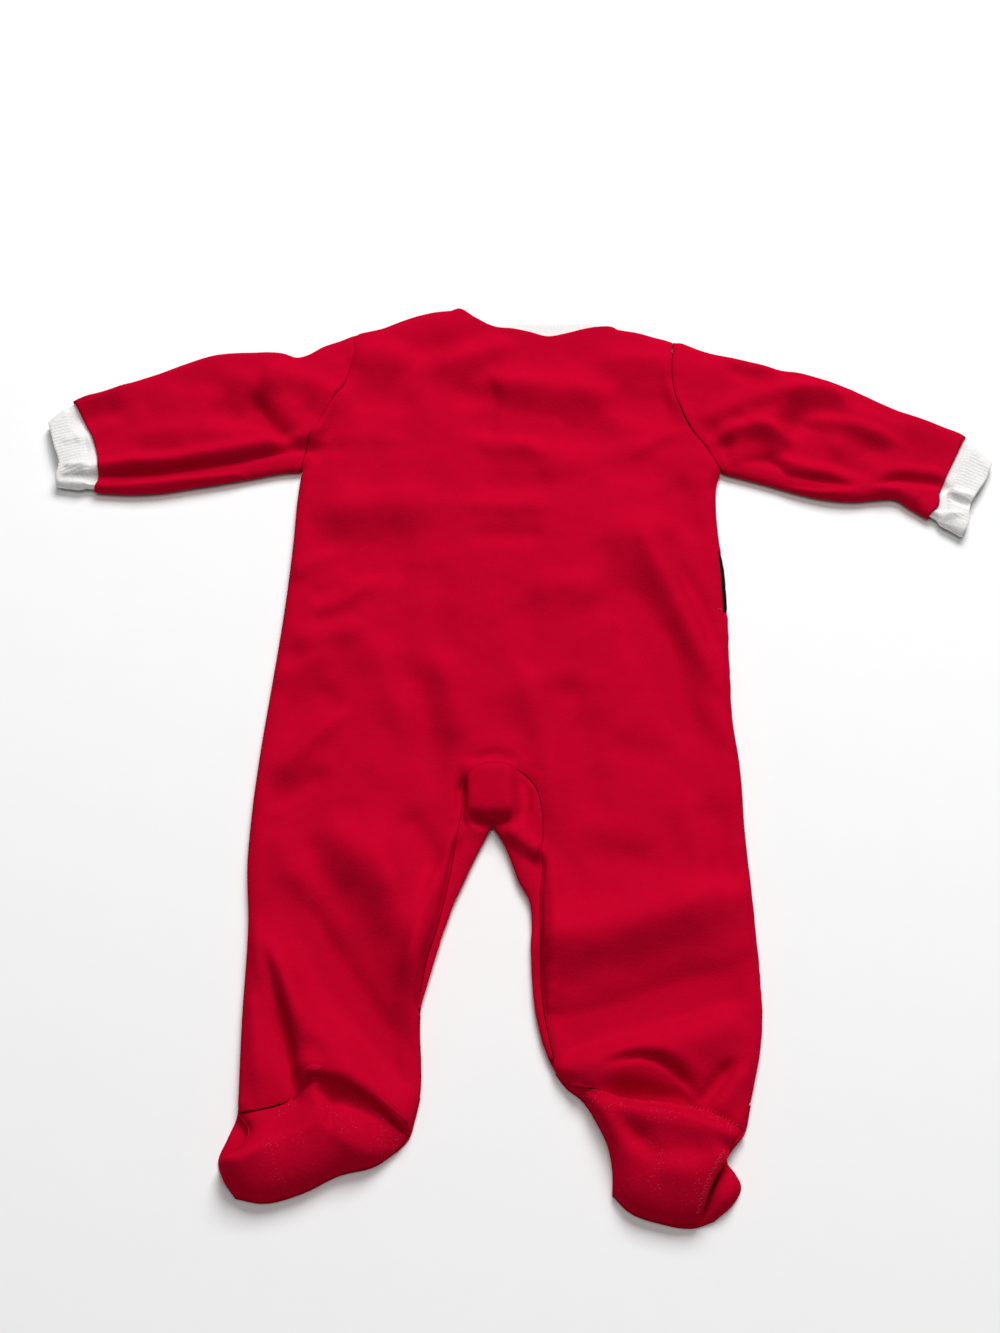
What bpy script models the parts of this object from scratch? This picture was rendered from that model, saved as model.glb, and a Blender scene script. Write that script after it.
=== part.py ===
"""Footed fleece sleeper for a small baby, laid out flat on its front.

The garment lies back side up. Plan sizes are in millimetres: x runs to the
wearer's right, y towards the neck and z up from the floor. Two layers of
cloth lie on each other, the back above and the fronts below, and meet at
folded edges. The height of the upper layer is one function of the plan,
made of a loft and a table of folds, and it rounds down to every folded edge.
Each cut piece is a wall of cloth between two plan edges.
"""
import math

import bmesh
import bpy
import numpy as np

MM = 0.001

# Cloth and layers
FLEECE = 2.2            # thickness of the fleece
RIB = 1.8               # thickness of the ribbed knit
SEAM = 0.3              # gap between two pieces at a seam
LOFT = 9.4              # usual height of the back above the floor
FOLD_Z = 3.8            # height of a folded edge
EDGE_ROLL = 7.0         # width of the rounding along a folded edge
EDGE_ROOM = 2.4         # least extra height beside a folded edge
EDGE_ROOM_REACH = 2.2 * EDGE_ROLL
LEAST_ROOM = 2 * FLEECE + 2 * SEAM      # least height of the upper layer
PLAN_CENTRE = (10.5, -30.25)   # middle of the laid out garment, put at the origin

# Front opening and its press studs
LAP = 10.0              # each front laps this far past the centre line
LAP_LIFT = FLEECE + SEAM
LAP_EASE = 1.8          # the under lap stays up this far past the outer lap's edge
LAP_STEP = 7.0          # and comes down over this width
LAP_ROOM = (6.0, 14.0)  # the back stays clear of both laps as far as this past their edges
LAP_ROOM_START = (-104.0, -92.0)        # from this height up
LAP_STEP_START = (-9.0, -2.0)           # the raised lap starts over this height below its corner
LAP_CORNER_Y = -84.5    # the laps have parted above the crotch here
STUDS = 6
STUD_TOP_Y = 183.0
STUD_PITCH = 47.0
STUD_RADIUS = 5.0
STUD_THICK = 1.0
STUD_SIDES = 16

# Belt band across the front
BELT_TOP_Y = 71.0
BELT_BOTTOM_Y = 32.0

# Feet: folded layers in one rounded lump on the flat upper
FOOT_ROLL = 13.0
SOLE_BASE_Z = FLEECE + SEAM
SOLE_EDGE = 1.3         # thickness of a sole at its outer edge
UPPER_EDGE = 1.2        # thickness of an upper at its edge
UPPER_ROLL = 5.0
TOE_SHOWN = (3.0, 7.0)  # the toe stands up where this much of the upper shows
TOE_DROP = 0.9          # the raised toe ends this far short of the sole's rim
FOOT_ROWS = 10

# Grid steps
ROLL_STEPS = EDGE_ROLL * (1.0 - np.cos(np.radians([0, 30, 60, 90])))
HALF_CELLS = 6          # cells across half of the back, past its rounding
FRONT_CELLS = 4         # and across a front
CURVE_STEP = 2.5        # spacing of the points that edges are sampled at
LAST_CELL = 15.0        # width of the cell beside the middle of the back
LEG_LAST_CELL = 3.0     # and of the last one beside an inner leg seam, at the ankle
SLEEVE_ROWS = 14
CUFF_ROWS = 3
NECK_BACK_ROWS = 8      # rows of the neckband across the back neck
NECKBAND_COLUMNS = 4
ARM_GAP = 1.4 * SEAM    # between a back and a sleeve, or a sleeve and its cuff, along x
NECK_GAP = 1.5 * SEAM   # between a front's neckline and the neckband
LAP_FIRST_CELL = 1.5    # least width of the cell beside the under lap's free edge

# Folded edges of the laid out garment, from neck or crotch outwards (x, y)
LEFT_ARM_TOP = [(-30, 251.5), (-40, 250.5), (-58, 244.5), (-75, 236.5), (-88.5, 233.2),
                (-94, 230), (-108, 223), (-118, 215.7), (-123, 213.7), (-131.6, 216.3),
                (-151, 216.5), (-170.6, 214.5), (-193, 206.6), (-214, 197.5),
                (-236, 188), (-258.5, 180.5), (-265, 173), (-271, 166.5)]
LEFT_ARM_UNDER = [(-117, 131), (-127, 130.3), (-146, 126.3), (-164.5, 122.4), (-183, 118.9),
                  (-201.4, 115.6), (-214.6, 114.8), (-229, 115.3), (-240.5, 116.5),
                  (-250, 118), (-260.5, 119.5)]
RIGHT_ARM_TOP = [(73, 236.4), (86, 233.6), (98, 229.7), (106, 227.3), (112, 226),
                 (121, 221.2), (142, 213), (158, 207), (170, 202.6), (183, 201),
                 (195, 197), (211, 189), (229, 177.8), (246.5, 168.4), (260, 163),
                 (278.5, 154.5), (285, 146), (292, 137)]
RIGHT_ARM_UNDER = [(131, 130), (143, 126.3), (157, 121.7), (174.6, 115.5), (192.5, 111),
                   (208.6, 109.7), (221, 111), (232, 111), (239, 105.5), (250.5, 96.5),
                   (258, 91), (267.5, 84.5)]
LEFT_SIDE = [(-117, 131), (-118.5, 113), (-119.5, 80), (-122, 36), (-126, -10), (-130, -52),
             (-133, -100), (-133.3, -122), (-130.8, -155), (-130.6, -210), (-129.5, -257.5)]
RIGHT_SIDE = [(131, 130), (128, 120), (126.8, 105), (127, 85), (128.6, 60), (129, 34),
              (128.2, -5), (128.2, -38), (130.3, -62), (130.8, -105), (132.5, -150),
              (133.3, -190), (132, -219), (127.5, -241), (120.5, -267)]
CROTCH_TIP = (-4.0, -101.0)
LEFT_INSIDE = [CROTCH_TIP, (-5.6, -103.5), (-8.5, -109.5), (-13.5, -120), (-18, -131),
               (-24, -145), (-30.5, -166), (-36.5, -188), (-40, -203), (-40.3, -215),
               (-39.4, -232), (-39.6, -248), (-42, -259), (-45, -269)]
RIGHT_INSIDE = [CROTCH_TIP, (-2.4, -103.5), (1.5, -110), (5.5, -120), (9.5, -132),
                (15.3, -144), (16.6, -156), (15.8, -172), (16.4, -190), (18, -205),
                (21.5, -221), (26, -233), (33, -243.5)]

# Seams of the upper layer (x, y)
LEFT_ARMHOLE = [(-88.5, 233.2), (-90, 211), (-95, 188), (-108, 163), (-115, 144), (-117, 131)]
RIGHT_ARMHOLE = [(106, 227.3), (104.5, 203), (105.5, 184), (112, 162), (121.5, 146), (131, 130)]
BACK_NECK = [(-30, 251.5), (-26, 250.5), (-14.8, 242.3), (-2.5, 236.2), (9.2, 234.8),
             (20, 232.4), (29, 229.6), (40, 231.3), (52, 234.8), (62, 236.7), (73, 236.4)]
NECK_MIDDLE = (20.0, 232.4)
GUSSET_TOP = (-1.6, -66.0)
LEFT_GUSSET = [GUSSET_TOP, (-9, -67.5), (-16, -71.5), (-20.3, -80), (-20.6, -92), (-22.4, -107),
               (-25, -124), (-28, -142), (-32, -160), (-37, -177), (-39.2, -190), (-41.4, -203.5)]
RIGHT_GUSSET = [GUSSET_TOP, (6.5, -67.6), (13.8, -73), (19.5, -82), (22.3, -94), (22.8, -110),
                (22, -126), (20.4, -142), (20.2, -160), (20.2, -178), (21, -197), (26.6, -230)]
LEFT_ANKLE = [(-129.5, -257.5), (-117, -256.5), (-106, -253.5), (-100.5, -251), (-97.5, -246.5),
              (-93, -243.6), (-86, -244.6), (-74, -249.5), (-61.5, -256.5), (-51.5, -264.5),
              (-45, -269)]
RIGHT_ANKLE = [(33, -243.5), (45, -247), (62, -249.5), (79.5, -251.5), (94, -254),
               (101, -256.5), (109, -260.5), (120.5, -267)]

# The side seam on the right shows on top: (y, how far up round the edge it sits)
RIGHT_SEAM_RISE = [(131, 2.0), (95, 2.2), (72, 5.4), (30, 6.0), (-20, 5.2), (-60, 3.6),
                   (-110, 4.6), (-200, 6.2), (-236, 4.4), (-256, 2.0), (-268, 2.0)]

# Sleeve ends, from over to under the arm, and the cuffs' open ends (x, y)
LEFT_WRIST = [(-258.5, 180.5), (-249.8, 164), (-242.5, 148), (-238.6, 131.4), (-238.3, 123.5),
              (-240.5, 116.5)]
RIGHT_WRIST = [(278.5, 154.5), (272, 141.3), (263, 122.5), (258.2, 111.4), (257.4, 104),
               (250.5, 96.5)]
LEFT_CUFF_END = [(-271, 166.5), (-264.7, 146.4), (-260.5, 133.3), (-261.5, 126), (-260.5, 119.5)]
RIGHT_CUFF_END = [(292, 137), (287.2, 126), (273.8, 103), (271.6, 91), (267.5, 84.5)]

# Lower seams where a leg front meets a foot upper (x, y)
LEFT_FRONT_ANKLE = [(-129.9, -248), (-39.6, -248)]
RIGHT_FRONT_ANKLE = [(27.5, -235.4), (124.6, -252)]

# Foot uppers, lying flat: inner side, toe or heel end, and outer side (x, y)
LEFT_UPPER_EDGE = {
    "outer": [(-129.8, -248.5), (-130.2, -258), (-134.5, -270), (-138, -280.5), (-135.5, -288.5),
              (-128.5, -298.5)],
    "end": [(-128.5, -298.5), (-115, -300.9), (-97, -296.4), (-78, -287.2), (-61, -282.7),
            (-50, -275)],
    "inner": [(-39.6, -248.5), (-41.9, -259), (-45, -269.5), (-50, -275)],
}
RIGHT_UPPER_EDGE = {
    "outer": [(124.5, -252.5), (120.6, -266.5), (113.5, -275.5), (110.8, -280), (114.5, -286),
              (117.5, -293), (114, -300), (103.5, -309.4)],
    "end": [(103.5, -309.4), (94, -312.7), (77, -310.5), (62, -304.8), (54.5, -297)],
    "inner": [(27.7, -236), (33, -243.5), (40, -249), (48, -261.5), (53, -273), (54.8, -284),
              (54.5, -297)],
}
# Soles, on top of the uppers
LEFT_SOLE_EDGE = {
    "outer": [(-128.5, -258), (-122.8, -267), (-127, -275.5), (-136.8, -282), (-135.3, -288.8),
              (-128.5, -298.3)],
    "end": [(-128.5, -298.3), (-115, -300.7), (-97, -296.2), (-78, -287), (-61, -282.5),
            (-50, -274.8)],
    "inner": [(-45.3, -269.8), (-50, -274.8)],
    "ankle": LEFT_ANKLE,
}
RIGHT_SOLE_EDGE = {
    "outer": [(119, -267.3), (110.3, -280.3), (102, -294.5), (95.7, -311)],
    "end": [(95.7, -311), (86, -311.6), (77, -310.3), (62, -304.6), (54.6, -297)],
    "inner": [(33.3, -244.2), (40, -249.2), (48, -261.7), (53, -273.2), (54.8, -284),
              (54.6, -297)],
    "ankle": RIGHT_ANKLE,
}

# Neckband: seam edge (x, y), free edge (x, y), height of the outer face, layer
NECKBAND = [
    (30, 195.8, 29, 208.3, 0.0, -1), (17, 195.8, 18, 208.3, 0.0, -1),
    (3, 199, 6.5, 211, 0.0, -1), (-9, 207, -2, 217, 0.0, -1),
    (-18, 218.5, -8.5, 226, 0.0, -1), (-22.6, 228.5, -11.5, 232.5, 0.5, -1),
    (-24, 235.5, -12.5, 237.5, 2.7, 0), (-18.5, 233.5, -9.5, 238.8, 5.0, 1),
    (-8, 230, -4, 240.6, 5.4, 1), (6, 227, 8, 242, 5.6, 1), (29, 225.5, 29, 242.7, 5.4, 1),
    (48, 227.2, 47, 242.8, 5.6, 1), (61, 227.8, 60, 241.8, 5.1, 1),
    (67.5, 227, 65.8, 239.6, 2.7, 0), (66.4, 220.5, 57, 229, 0.5, -1),
    (61, 211.5, 52.5, 221, 0.0, -1), (52, 203.5, 45, 214, 0.0, -1),
    (41, 198.4, 37.5, 210.4, 0.6, -1), (33.5, 196.8, 31.5, 209, 2.5, -1),
    (22, 195.8, 21.5, 208.3, 2.5, -1), (10, 195.8, 10, 208.3, 2.5, -1),
]
LEFT_NECK_ROW, RIGHT_NECK_ROW = 6, 13   # rows where the band folds over at the neck
NECK_CENTRE = np.array([20.0, 224.0])

# Folds of the upper layer, each a soft ridge or trough along a bent line:
# start x, y, middle x, y, end x, y, half width, rise
FOLDS = [
    # neck and shoulders
    (-70, 229, -36, 220, 6, 236, 9, -3.2), (-54, 196, -18, 212, 16, 223, 11, 5.6),
    (-34, 188, -12, 184, 2, 188, 10, -4.2), (-94, 216, -72, 212, -50, 206, 12, 4.6),
    (-92, 182, -70, 180, -44, 178, 13, -4.2), (-26, 190, 28, 188, 74, 178, 11, 6.2),
    (-30, 164, 30, 158, 84, 150, 12, -5.6), (-20, 146, 4, 148, 30, 138, 8, 3.0),
    (20, 138, 34, 134, 52, 126, 9, 2.0), (4, 214, 32, 212, 58, 218, 9, -2.0),
    (52, 209, 82, 209, 112, 206, 11, 4.0), (60, 180, 88, 176, 110, 172, 11, -4.0),
    (-108, 160, -100, 150, -96, 136, 7, -2.0), (-14, 142, 10, 142, 32, 137, 8, 2.2),
    (-16, 119, 10, 117, 36, 117, 9, -3.0), (-104, 150, -80, 152, -50, 148, 7, 1.5),
    # chest and waist
    (-114, 97, -74, 102, -18, 102, 13, 5.0), (-32, 102, 2, 101, 38, 100, 7, 2.4),
    (48, 82, 82, 82, 106, 92, 15, 6.0), (56, 124, 78, 128, 104, 126, 11, -2.4),
    (-114, 76, -76, 73, -34, 80, 13, -4.8), (-96, 56, -70, 58, -46, 62, 9, -2.4),
    (-122, 52, -106, 64, -82, 78, 7, 3.2), (-108, 39, -98, 43, -82, 52, 7, -2.2),
    (-108, 16, -92, 23, -74, 31, 8, -2.0), (-124, 6, -98, 16, -68, 20, 9, 3.6),
    (-24, 81, 6, 81, 30, 81, 7, -2.6), (12, 43, 38, 45, 62, 41, 11, 3.4),
    (102, 130, 108, 100, 116, 74, 9, -3.6), (78, 88, 98, 38, 126, -36, 8, 7.0),
    (58, 68, 86, 6, 118, -72, 14, -7.0), (88, 10, 112, -30, 130, -62, 9, 3.0),
    (-14, 70, -8, 40, -10, 6, 9, 1.5), (-40, 64, -34, 30, -36, -8, 10, -1.6),
    (14, 44, 16, 12, 18, -24, 8, -1.5), (56, 74, 60, 40, 58, 6, 9, 1.5),
    # hips and crotch
    (-132, -16, -110, -6, -88, 4, 8, 2.8), (-126, -48, -108, -32, -82, -18, 10, -4.6),
    (-128, -80, -106, -55, -78, -28, 7, 4.6), (-126, -94, -108, -80, -88, -70, 7, -3.0),
    (-82, 18, -60, -12, -48, -64, 11, 3.6), (-60, 4, -42, -36, -34, -92, 9, -4.4),
    (-38, 10, -26, -26, -22, -62, 8, 3.8), (8, 4, 24, -50, 32, -124, 9, 4.0),
    (32, -2, 44, -52, 48, -116, 12, -3.0), (-24, -58, -4, -54, 16, -60, 7, 1.0),
    (56, -52, 76, -60, 98, -58, 10, -2.0),
    # left leg
    (-74, -88, -60, -120, -54, -156, 8, 3.6), (-54, -92, -42, -110, -31, -138, 8, -3.8),
    (-104, -104, -92, -132, -76, -160, 9, -2.4), (-100, -98, -56, -148, -26, -232, 15, 11.5),
    (-114, -126, -82, -190, -28, -258, 11, -8.4), (-130, -150, -98, -213, -42, -262, 9, 7.4),
    (-116, -160, -103, -208, -92, -250, 7, 3.0), (-108, -236, -76, -243, -34, -268, 7, 7.4),
    (-118, -100, -112, -122, -102, -144, 8, 1.8),
    # right leg
    (4, -170, 64, -162, 146, -130, 16, 12.0), (-4, -222, 62, -210, 150, -172, 12, -9.4),
    (20, -244, 70, -228, 132, -214, 13, 6.4), (110, -80, 116, -112, 122, -148, 10, -4.2),
    (96, -78, 103, -108, 110, -138, 10, 2.8), (40, -106, 62, -104, 88, -110, 9, 1.5),
    (40, -122, 62, -120, 88, -126, 9, -1.5),
    # left sleeve
    (-92, 214, -180, 198, -272, 166, 22, 5.0), (-160, 128, -126, 135, -98, 145, 7.5, -8.0),
    (-142, 206, -130, 176, -108, 156, 9, 2.6), (-176, 174, -158, 168, -138, 160, 11, -5.0),
    (-172, 192, -150, 190, -126, 184, 8, 2.6), (-146, 202, -124, 193, -92, 183, 10, 5.0),
    (-124, 172, -109, 166, -94, 160, 8, -2.4), (-258, 161, -242, 167, -218, 172, 8, -4.0),
    (-222, 142, -201, 139, -180, 140, 7, -1.8), (-226, 152, -176, 156, -122, 154, 9, 2.8),
    (-210, 208, -180, 211, -146, 213, 7, 2.0), (-206, 190, -176, 190, -146, 186, 9, -2.6),
    (-252, 148, -240, 156, -224, 168, 7, 2.4),
    # right sleeve
    (92, 212, 190, 180, 296, 140, 22, 6.4), (114, 160, 146, 174, 200, 188, 8, 4.2),
    (120, 149, 136, 155, 154, 166, 7, -3.4), (134, 201, 150, 194, 168, 187, 7, -2.2),
    (212, 158, 188, 168, 172, 148, 8, -4.2), (200, 146, 217, 142, 234, 139, 7, -2.2),
    (192, 136, 205, 130, 220, 126, 7, -2.0), (120, 110, 147, 125, 172, 134, 8, -10.0),
    (214, 119, 234, 112, 248, 106, 7, 2.4), (202, 180, 224, 171, 248, 161, 7, -2.6),
]

# Broad swellings of the upper layer: x, y, half width in x, in y, rise
SWELLINGS = [
    (5, 60, 70, 60, 3.0), (5, -20, 60, 60, 1.2), (22, 236, 50, 16, 0.9),
    (-85, -236, 42, 26, 2.6), (78, -228, 46, 22, 1.2),
    (-285, 140, 34, 60, -1.5), (305, 120, 44, 60, -1.5), (10, 170, 50, 30, 1.2),
    (-2, -86, 40, 26, 2.0),
]
CROTCH_DOME = {"x": -6.0, "y": -82.5, "half_x": 14.0, "half_y": 15.0, "rise": 8.5}

# Folds of the soles and of the toe, which stands above its sole's edge
SOLE_FOLDS = [
    (-127, -277, -113, -264, -96, -254, 8, 4.6), (-83, -246, -82.5, -255, -82, -266, 3.5, -3.2),
    (-70, -262, -62, -267, -52, -270, 7, 1.5), (-100, -252, -76, -252, -50, -268, 6, -2.6),
    (62, -262, 88, -268, 110, -268, 9, 4.4), (58, -253, 80, -255, 100, -259, 6, -3.0),
    (50, -268, 66, -278, 78, -290, 10, -1.2),
]
SOLE_LOFT = 18.0
TOES = [(-131, -274, 9, 8, 1.0), (107, -297, 10, 13, 7.5)]   # as SWELLINGS, on the uppers

COLOURS = {
    "red_fleece": ((0.52, 0.004, 0.022), 0.95),
    "white_rib": ((0.86, 0.86, 0.85), 0.9),
    "black_fleece": ((0.012, 0.012, 0.014), 0.95),
    "stud_metal": ((0.50, 0.50, 0.51), 0.35),
}


# ---- curves in the plan ----

def lengths_of(curve):
    """Distance run at each point of a polyline."""
    return np.concatenate([[0.0], np.cumsum(np.linalg.norm(np.diff(curve, axis=0), axis=1))])


def along(curve, fractions):
    """The points at these fractions of a polyline's length."""
    lengths = lengths_of(curve)
    where = np.asarray(fractions) * lengths[-1]
    return np.stack([np.interp(where, lengths, column) for column in curve.T], axis=-1)


def smooth_curve(points, step=CURVE_STEP):
    """A curve through the points (Hermite spans on chord lengths), sampled evenly."""
    points = np.array(points, dtype=float)
    at = lengths_of(points)
    slope = np.gradient(points, at, axis=0)
    fine = np.linspace(0.0, at[-1], max(8, int(at[-1] / step * 3)))
    part = np.clip(np.searchsorted(at, fine, side="right") - 1, 0, len(at) - 2)
    width = np.diff(at)[part][:, None]
    t = (fine - at[part])[:, None] / width
    curve = ((2 * t**3 - 3 * t**2 + 1) * points[part] + (t**3 - 2 * t**2 + t) * width * slope[part]
             + (3 * t**2 - 2 * t**3) * points[part + 1] + (t**3 - t**2) * width * slope[part + 1])
    return along(curve, np.linspace(0.0, 1.0, max(4, int(at[-1] / step) + 1)))


def join(*curves):
    """One polyline from several that meet end to end."""
    return np.concatenate([curves[0]] + [curve[1:] for curve in curves[1:]])


def at_height(curve, heights):
    """The points of a curve that runs down the plan, at these y."""
    heights = np.asarray(heights, dtype=float)
    return np.stack([np.interp(-heights, -curve[:, 1], curve[:, 0]), heights], axis=-1)


def between(curve, top, bottom):
    """The stretch of a falling curve between two heights, ends included."""
    inside = curve[(curve[:, 1] < top - 0.2) & (curve[:, 1] > bottom + 0.2)]
    return np.concatenate([at_height(curve, [top]), inside, at_height(curve, [bottom])])


def beyond(curve, x, outward):
    """The stretch of a level curve past x, starting at x, outward being -1 or 1."""
    curve = curve[np.argsort(outward * curve[:, 0])]
    start = [[x, np.interp(outward * x, outward * curve[:, 0], curve[:, 1])]]
    return np.concatenate([start, curve[outward * curve[:, 0] > outward * x + 0.2]])


def centre_front(y):
    """The centre front line leans with the neck."""
    return CROTCH_TIP[0] + (np.asarray(y, dtype=float) - CROTCH_TIP[1]) * 0.08


LEFT_TOP, LEFT_UNDER, LEFT_EDGE, LEFT_INNER = (smooth_curve(points) for points in (
    LEFT_ARM_TOP, LEFT_ARM_UNDER, LEFT_SIDE, LEFT_INSIDE))
RIGHT_TOP, RIGHT_UNDER, RIGHT_EDGE, RIGHT_INNER = (smooth_curve(points) for points in (
    RIGHT_ARM_TOP, RIGHT_ARM_UNDER, RIGHT_SIDE, RIGHT_INSIDE))
# Each folded edge runs with the cloth on its left hand
FOLDED_EDGES = [LEFT_TOP, LEFT_UNDER[::-1], LEFT_EDGE, LEFT_INNER[::-1],
                RIGHT_INNER, RIGHT_EDGE[::-1], RIGHT_UNDER, RIGHT_TOP[::-1]]


def nearest_on(curves, xy):
    """Distance to the nearest of some polylines, and the unit way from it to each point."""
    start = np.concatenate([curve[:-1] for curve in curves])
    run = np.concatenate([np.diff(curve, axis=0) for curve in curves])
    size = (run**2).sum(axis=1)
    flat = xy.reshape(-1, 2)
    distance, way = np.empty(len(flat)), np.empty((len(flat), 2))
    for first in range(0, len(flat), 2000):
        offset = flat[first:first + 2000, None] - start
        t = np.clip((offset * run).sum(axis=2) / size, 0.0, 1.0)
        away = offset - t[..., None] * run
        gaps = np.linalg.norm(away, axis=2)
        rows, nearest = np.arange(len(gaps)), gaps.argmin(axis=1)
        gap = gaps[rows, nearest][:, None]
        near_run = run[nearest]
        beside = np.stack([-near_run[:, 1], near_run[:, 0]], axis=1)
        beside /= np.linalg.norm(beside, axis=1, keepdims=True)
        out = away[rows, nearest] / np.maximum(gap, 1e-6)
        distance[first:first + 2000] = gap[:, 0]
        way[first:first + 2000] = np.where(gap > 0.05, out, beside)
    return distance.reshape(xy.shape[:-1]), way.reshape(xy.shape)


# ---- heights ----

def fold_rise(xy, folds):
    """Sum of soft ridges: rise times a bell of the distance to each bent line.

    Towards both ends of its line a ridge grows lower and narrower.
    """
    total = np.zeros(xy.shape[:-1])
    t = np.linspace(0.0, 1.0, 9)[:, None]
    for x1, y1, x2, y2, x3, y3, width, rise in folds:
        start, middle, end = np.array([(x1, y1), (x2, y2), (x3, y3)], dtype=float)
        control = 2 * middle - (start + end) / 2
        path = (1 - t)**2 * start + 2 * t * (1 - t) * control + t**2 * end
        reach = 3 * width
        near = ((xy > path.min(axis=0) - reach) & (xy < path.max(axis=0) + reach)).all(axis=-1)
        points = xy[near]
        gap, place = np.full(len(points), 1e9), np.zeros(len(points))
        for number, (first, run) in enumerate(zip(path[:-1], np.diff(path, axis=0))):
            offset = points - first
            part = np.clip(offset @ run / (run @ run), 0.0, 1.0)
            away = ((offset - part[:, None] * run)**2).sum(axis=1)
            place = np.where(away < gap, (number + part) / 8, place)
            gap = np.minimum(gap, away)
        full = ramp(place, 0.0, 0.3) * (1 - ramp(place, 0.7, 1.0))
        total[near] += rise * full * np.exp(-gap / (width * (0.6 + 0.4 * full))**2)
    return total


def swelling_rise(xy, swellings):
    """Sum of round swellings: rise times a bell in x and y."""
    total = np.zeros(xy.shape[:-1])
    for x, y, half_x, half_y, rise in swellings:
        total += rise * np.exp(-((xy[..., 0] - x) / half_x)**2 - ((xy[..., 1] - y) / half_y)**2)
    return total


def at_least(value, lowest, softness=0.5):
    """The larger of two heights, blended where they are close."""
    return 0.5 * (value + lowest + np.sqrt((value - lowest)**2 + softness**2)) - softness / 4


def ramp(value, start, end):
    """Smooth step from 0 at start to 1 at end."""
    t = np.clip((value - start) / (end - start), 0.0, 1.0)
    return t * t * (3 - 2 * t)


def rounding(distance, width):
    """Quarter ellipse: 0 on an edge and 1 from one width in."""
    left = np.clip(1.0 - distance / width, 0.0, 1.0)
    return np.sqrt(1.0 - left**2), left


def upper_height(xy):
    """Top of the upper layer where no edge rounds it."""
    dome = CROTCH_DOME
    x, y = xy[..., 0], xy[..., 1]
    reach = ((x - dome["x"]) / dome["half_x"])**4 + ((y - dome["y"]) / dome["half_y"])**4
    height = (LOFT + fold_rise(xy, FOLDS) + swelling_rise(xy, SWELLINGS)
              + dome["rise"] * np.exp(-reach))
    beside_lap = np.abs(x - centre_front(y))
    over_lap = ((1 - ramp(beside_lap, LAP + LAP_ROOM[0], LAP + LAP_ROOM[1]))
                * ramp(y, *LAP_ROOM_START))
    return at_least(height, LEAST_ROOM + over_lap * LAP_LIFT)


def lap_edge(y):
    """Edge of the outer lap, which runs in to the crotch tip at its lower end."""
    y = np.asarray(y, dtype=float)
    corner_x = centre_front(LAP_CORNER_Y) + LAP
    run_in = np.interp(y, [CROTCH_TIP[1] + 0.2, LAP_CORNER_Y], [CROTCH_TIP[0] - 0.4, corner_x])
    return np.where(y > LAP_CORNER_Y, centre_front(y) + LAP, run_in)


def lap_lift(xy):
    """How far the right front is raised where it lies on the outer lap."""
    x, y = xy[..., 0], xy[..., 1]
    past_edge = x - lap_edge(y)
    return (LAP_LIFT * (1 - ramp(past_edge, LAP_EASE, LAP_EASE + LAP_STEP))
            * ramp(y - LAP_CORNER_Y, *LAP_STEP_START))


def slope_of(height, xy, step=0.5):
    """Rise of a height function along x and along y."""
    rises = [(height(xy + shift) - height(xy - shift)) / (2 * step)
             for shift in (np.array([step, 0.0]), np.array([0.0, step]))]
    return np.stack(rises, axis=-1)


def skin(xy, layer, raised):
    """Points and outward normals of the cloth's outer face at these plan points.

    layer is 1 for the back above, -1 for the fronts below and 0 on a folded
    edge. Away from an edge the upper face stands at upper_height and the lower
    one on the floor, plus lap_lift where raised. Towards an edge both follow a
    quarter ellipse, and their normals turn level.
    """
    distance, inward = nearest_on(FOLDED_EDGES, xy)
    full, left = rounding(distance, EDGE_ROLL)
    half_gap = SEAM / 2
    near_edge = 1 - ramp(distance, EDGE_ROLL, EDGE_ROOM_REACH)
    height = at_least(upper_height(xy), LEAST_ROOM + EDGE_ROOM * near_edge)
    room = height - FOLD_Z - half_gap
    z_upper = FOLD_Z + half_gap + room * full
    z_lower = (FOLD_Z - half_gap) * (1 - full)
    turn = (left / EDGE_ROLL)[..., None] * inward
    level_upper = -room[..., None] * turn - (full**2)[..., None] * slope_of(upper_height, xy)
    level_lower = -(FOLD_Z - half_gap) * turn
    if raised:
        z_lower = z_lower + lap_lift(xy)
        level_lower = level_lower + full[..., None] * slope_of(lap_lift, xy)
    z = np.where(layer > 0, z_upper, np.where(layer < 0, z_lower, FOLD_Z))
    above, below = (layer > 0)[..., None], (layer < 0)[..., None]
    level = np.where(above, level_upper, np.where(below, level_lower, -inward))
    normal = np.concatenate([level, (layer * full)[..., None]], axis=-1)
    normal /= np.linalg.norm(normal, axis=-1, keepdims=True)
    return np.concatenate([xy, z[..., None]], axis=-1), normal


# ---- grids between plan edges ----

def stations(length, first, last, count):
    """Distances along a run: given steps in from each end, even cells between."""
    length = np.asarray(length, dtype=float)[..., None]
    ones = np.ones_like(length)
    first, last = np.asarray(first) * ones, np.asarray(last) * ones
    share = np.arange(1, count) / count
    middle = first[..., -1:] + share * (length - first[..., -1:] - last[..., -1:])
    return np.concatenate([first, middle, length - last[..., ::-1]], axis=-1)


def spread(curve, first, last, count):
    """Points on a curve at stations of its own length."""
    length = lengths_of(curve)[-1]
    return along(curve, stations(length, first, last, count) / length)


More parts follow.
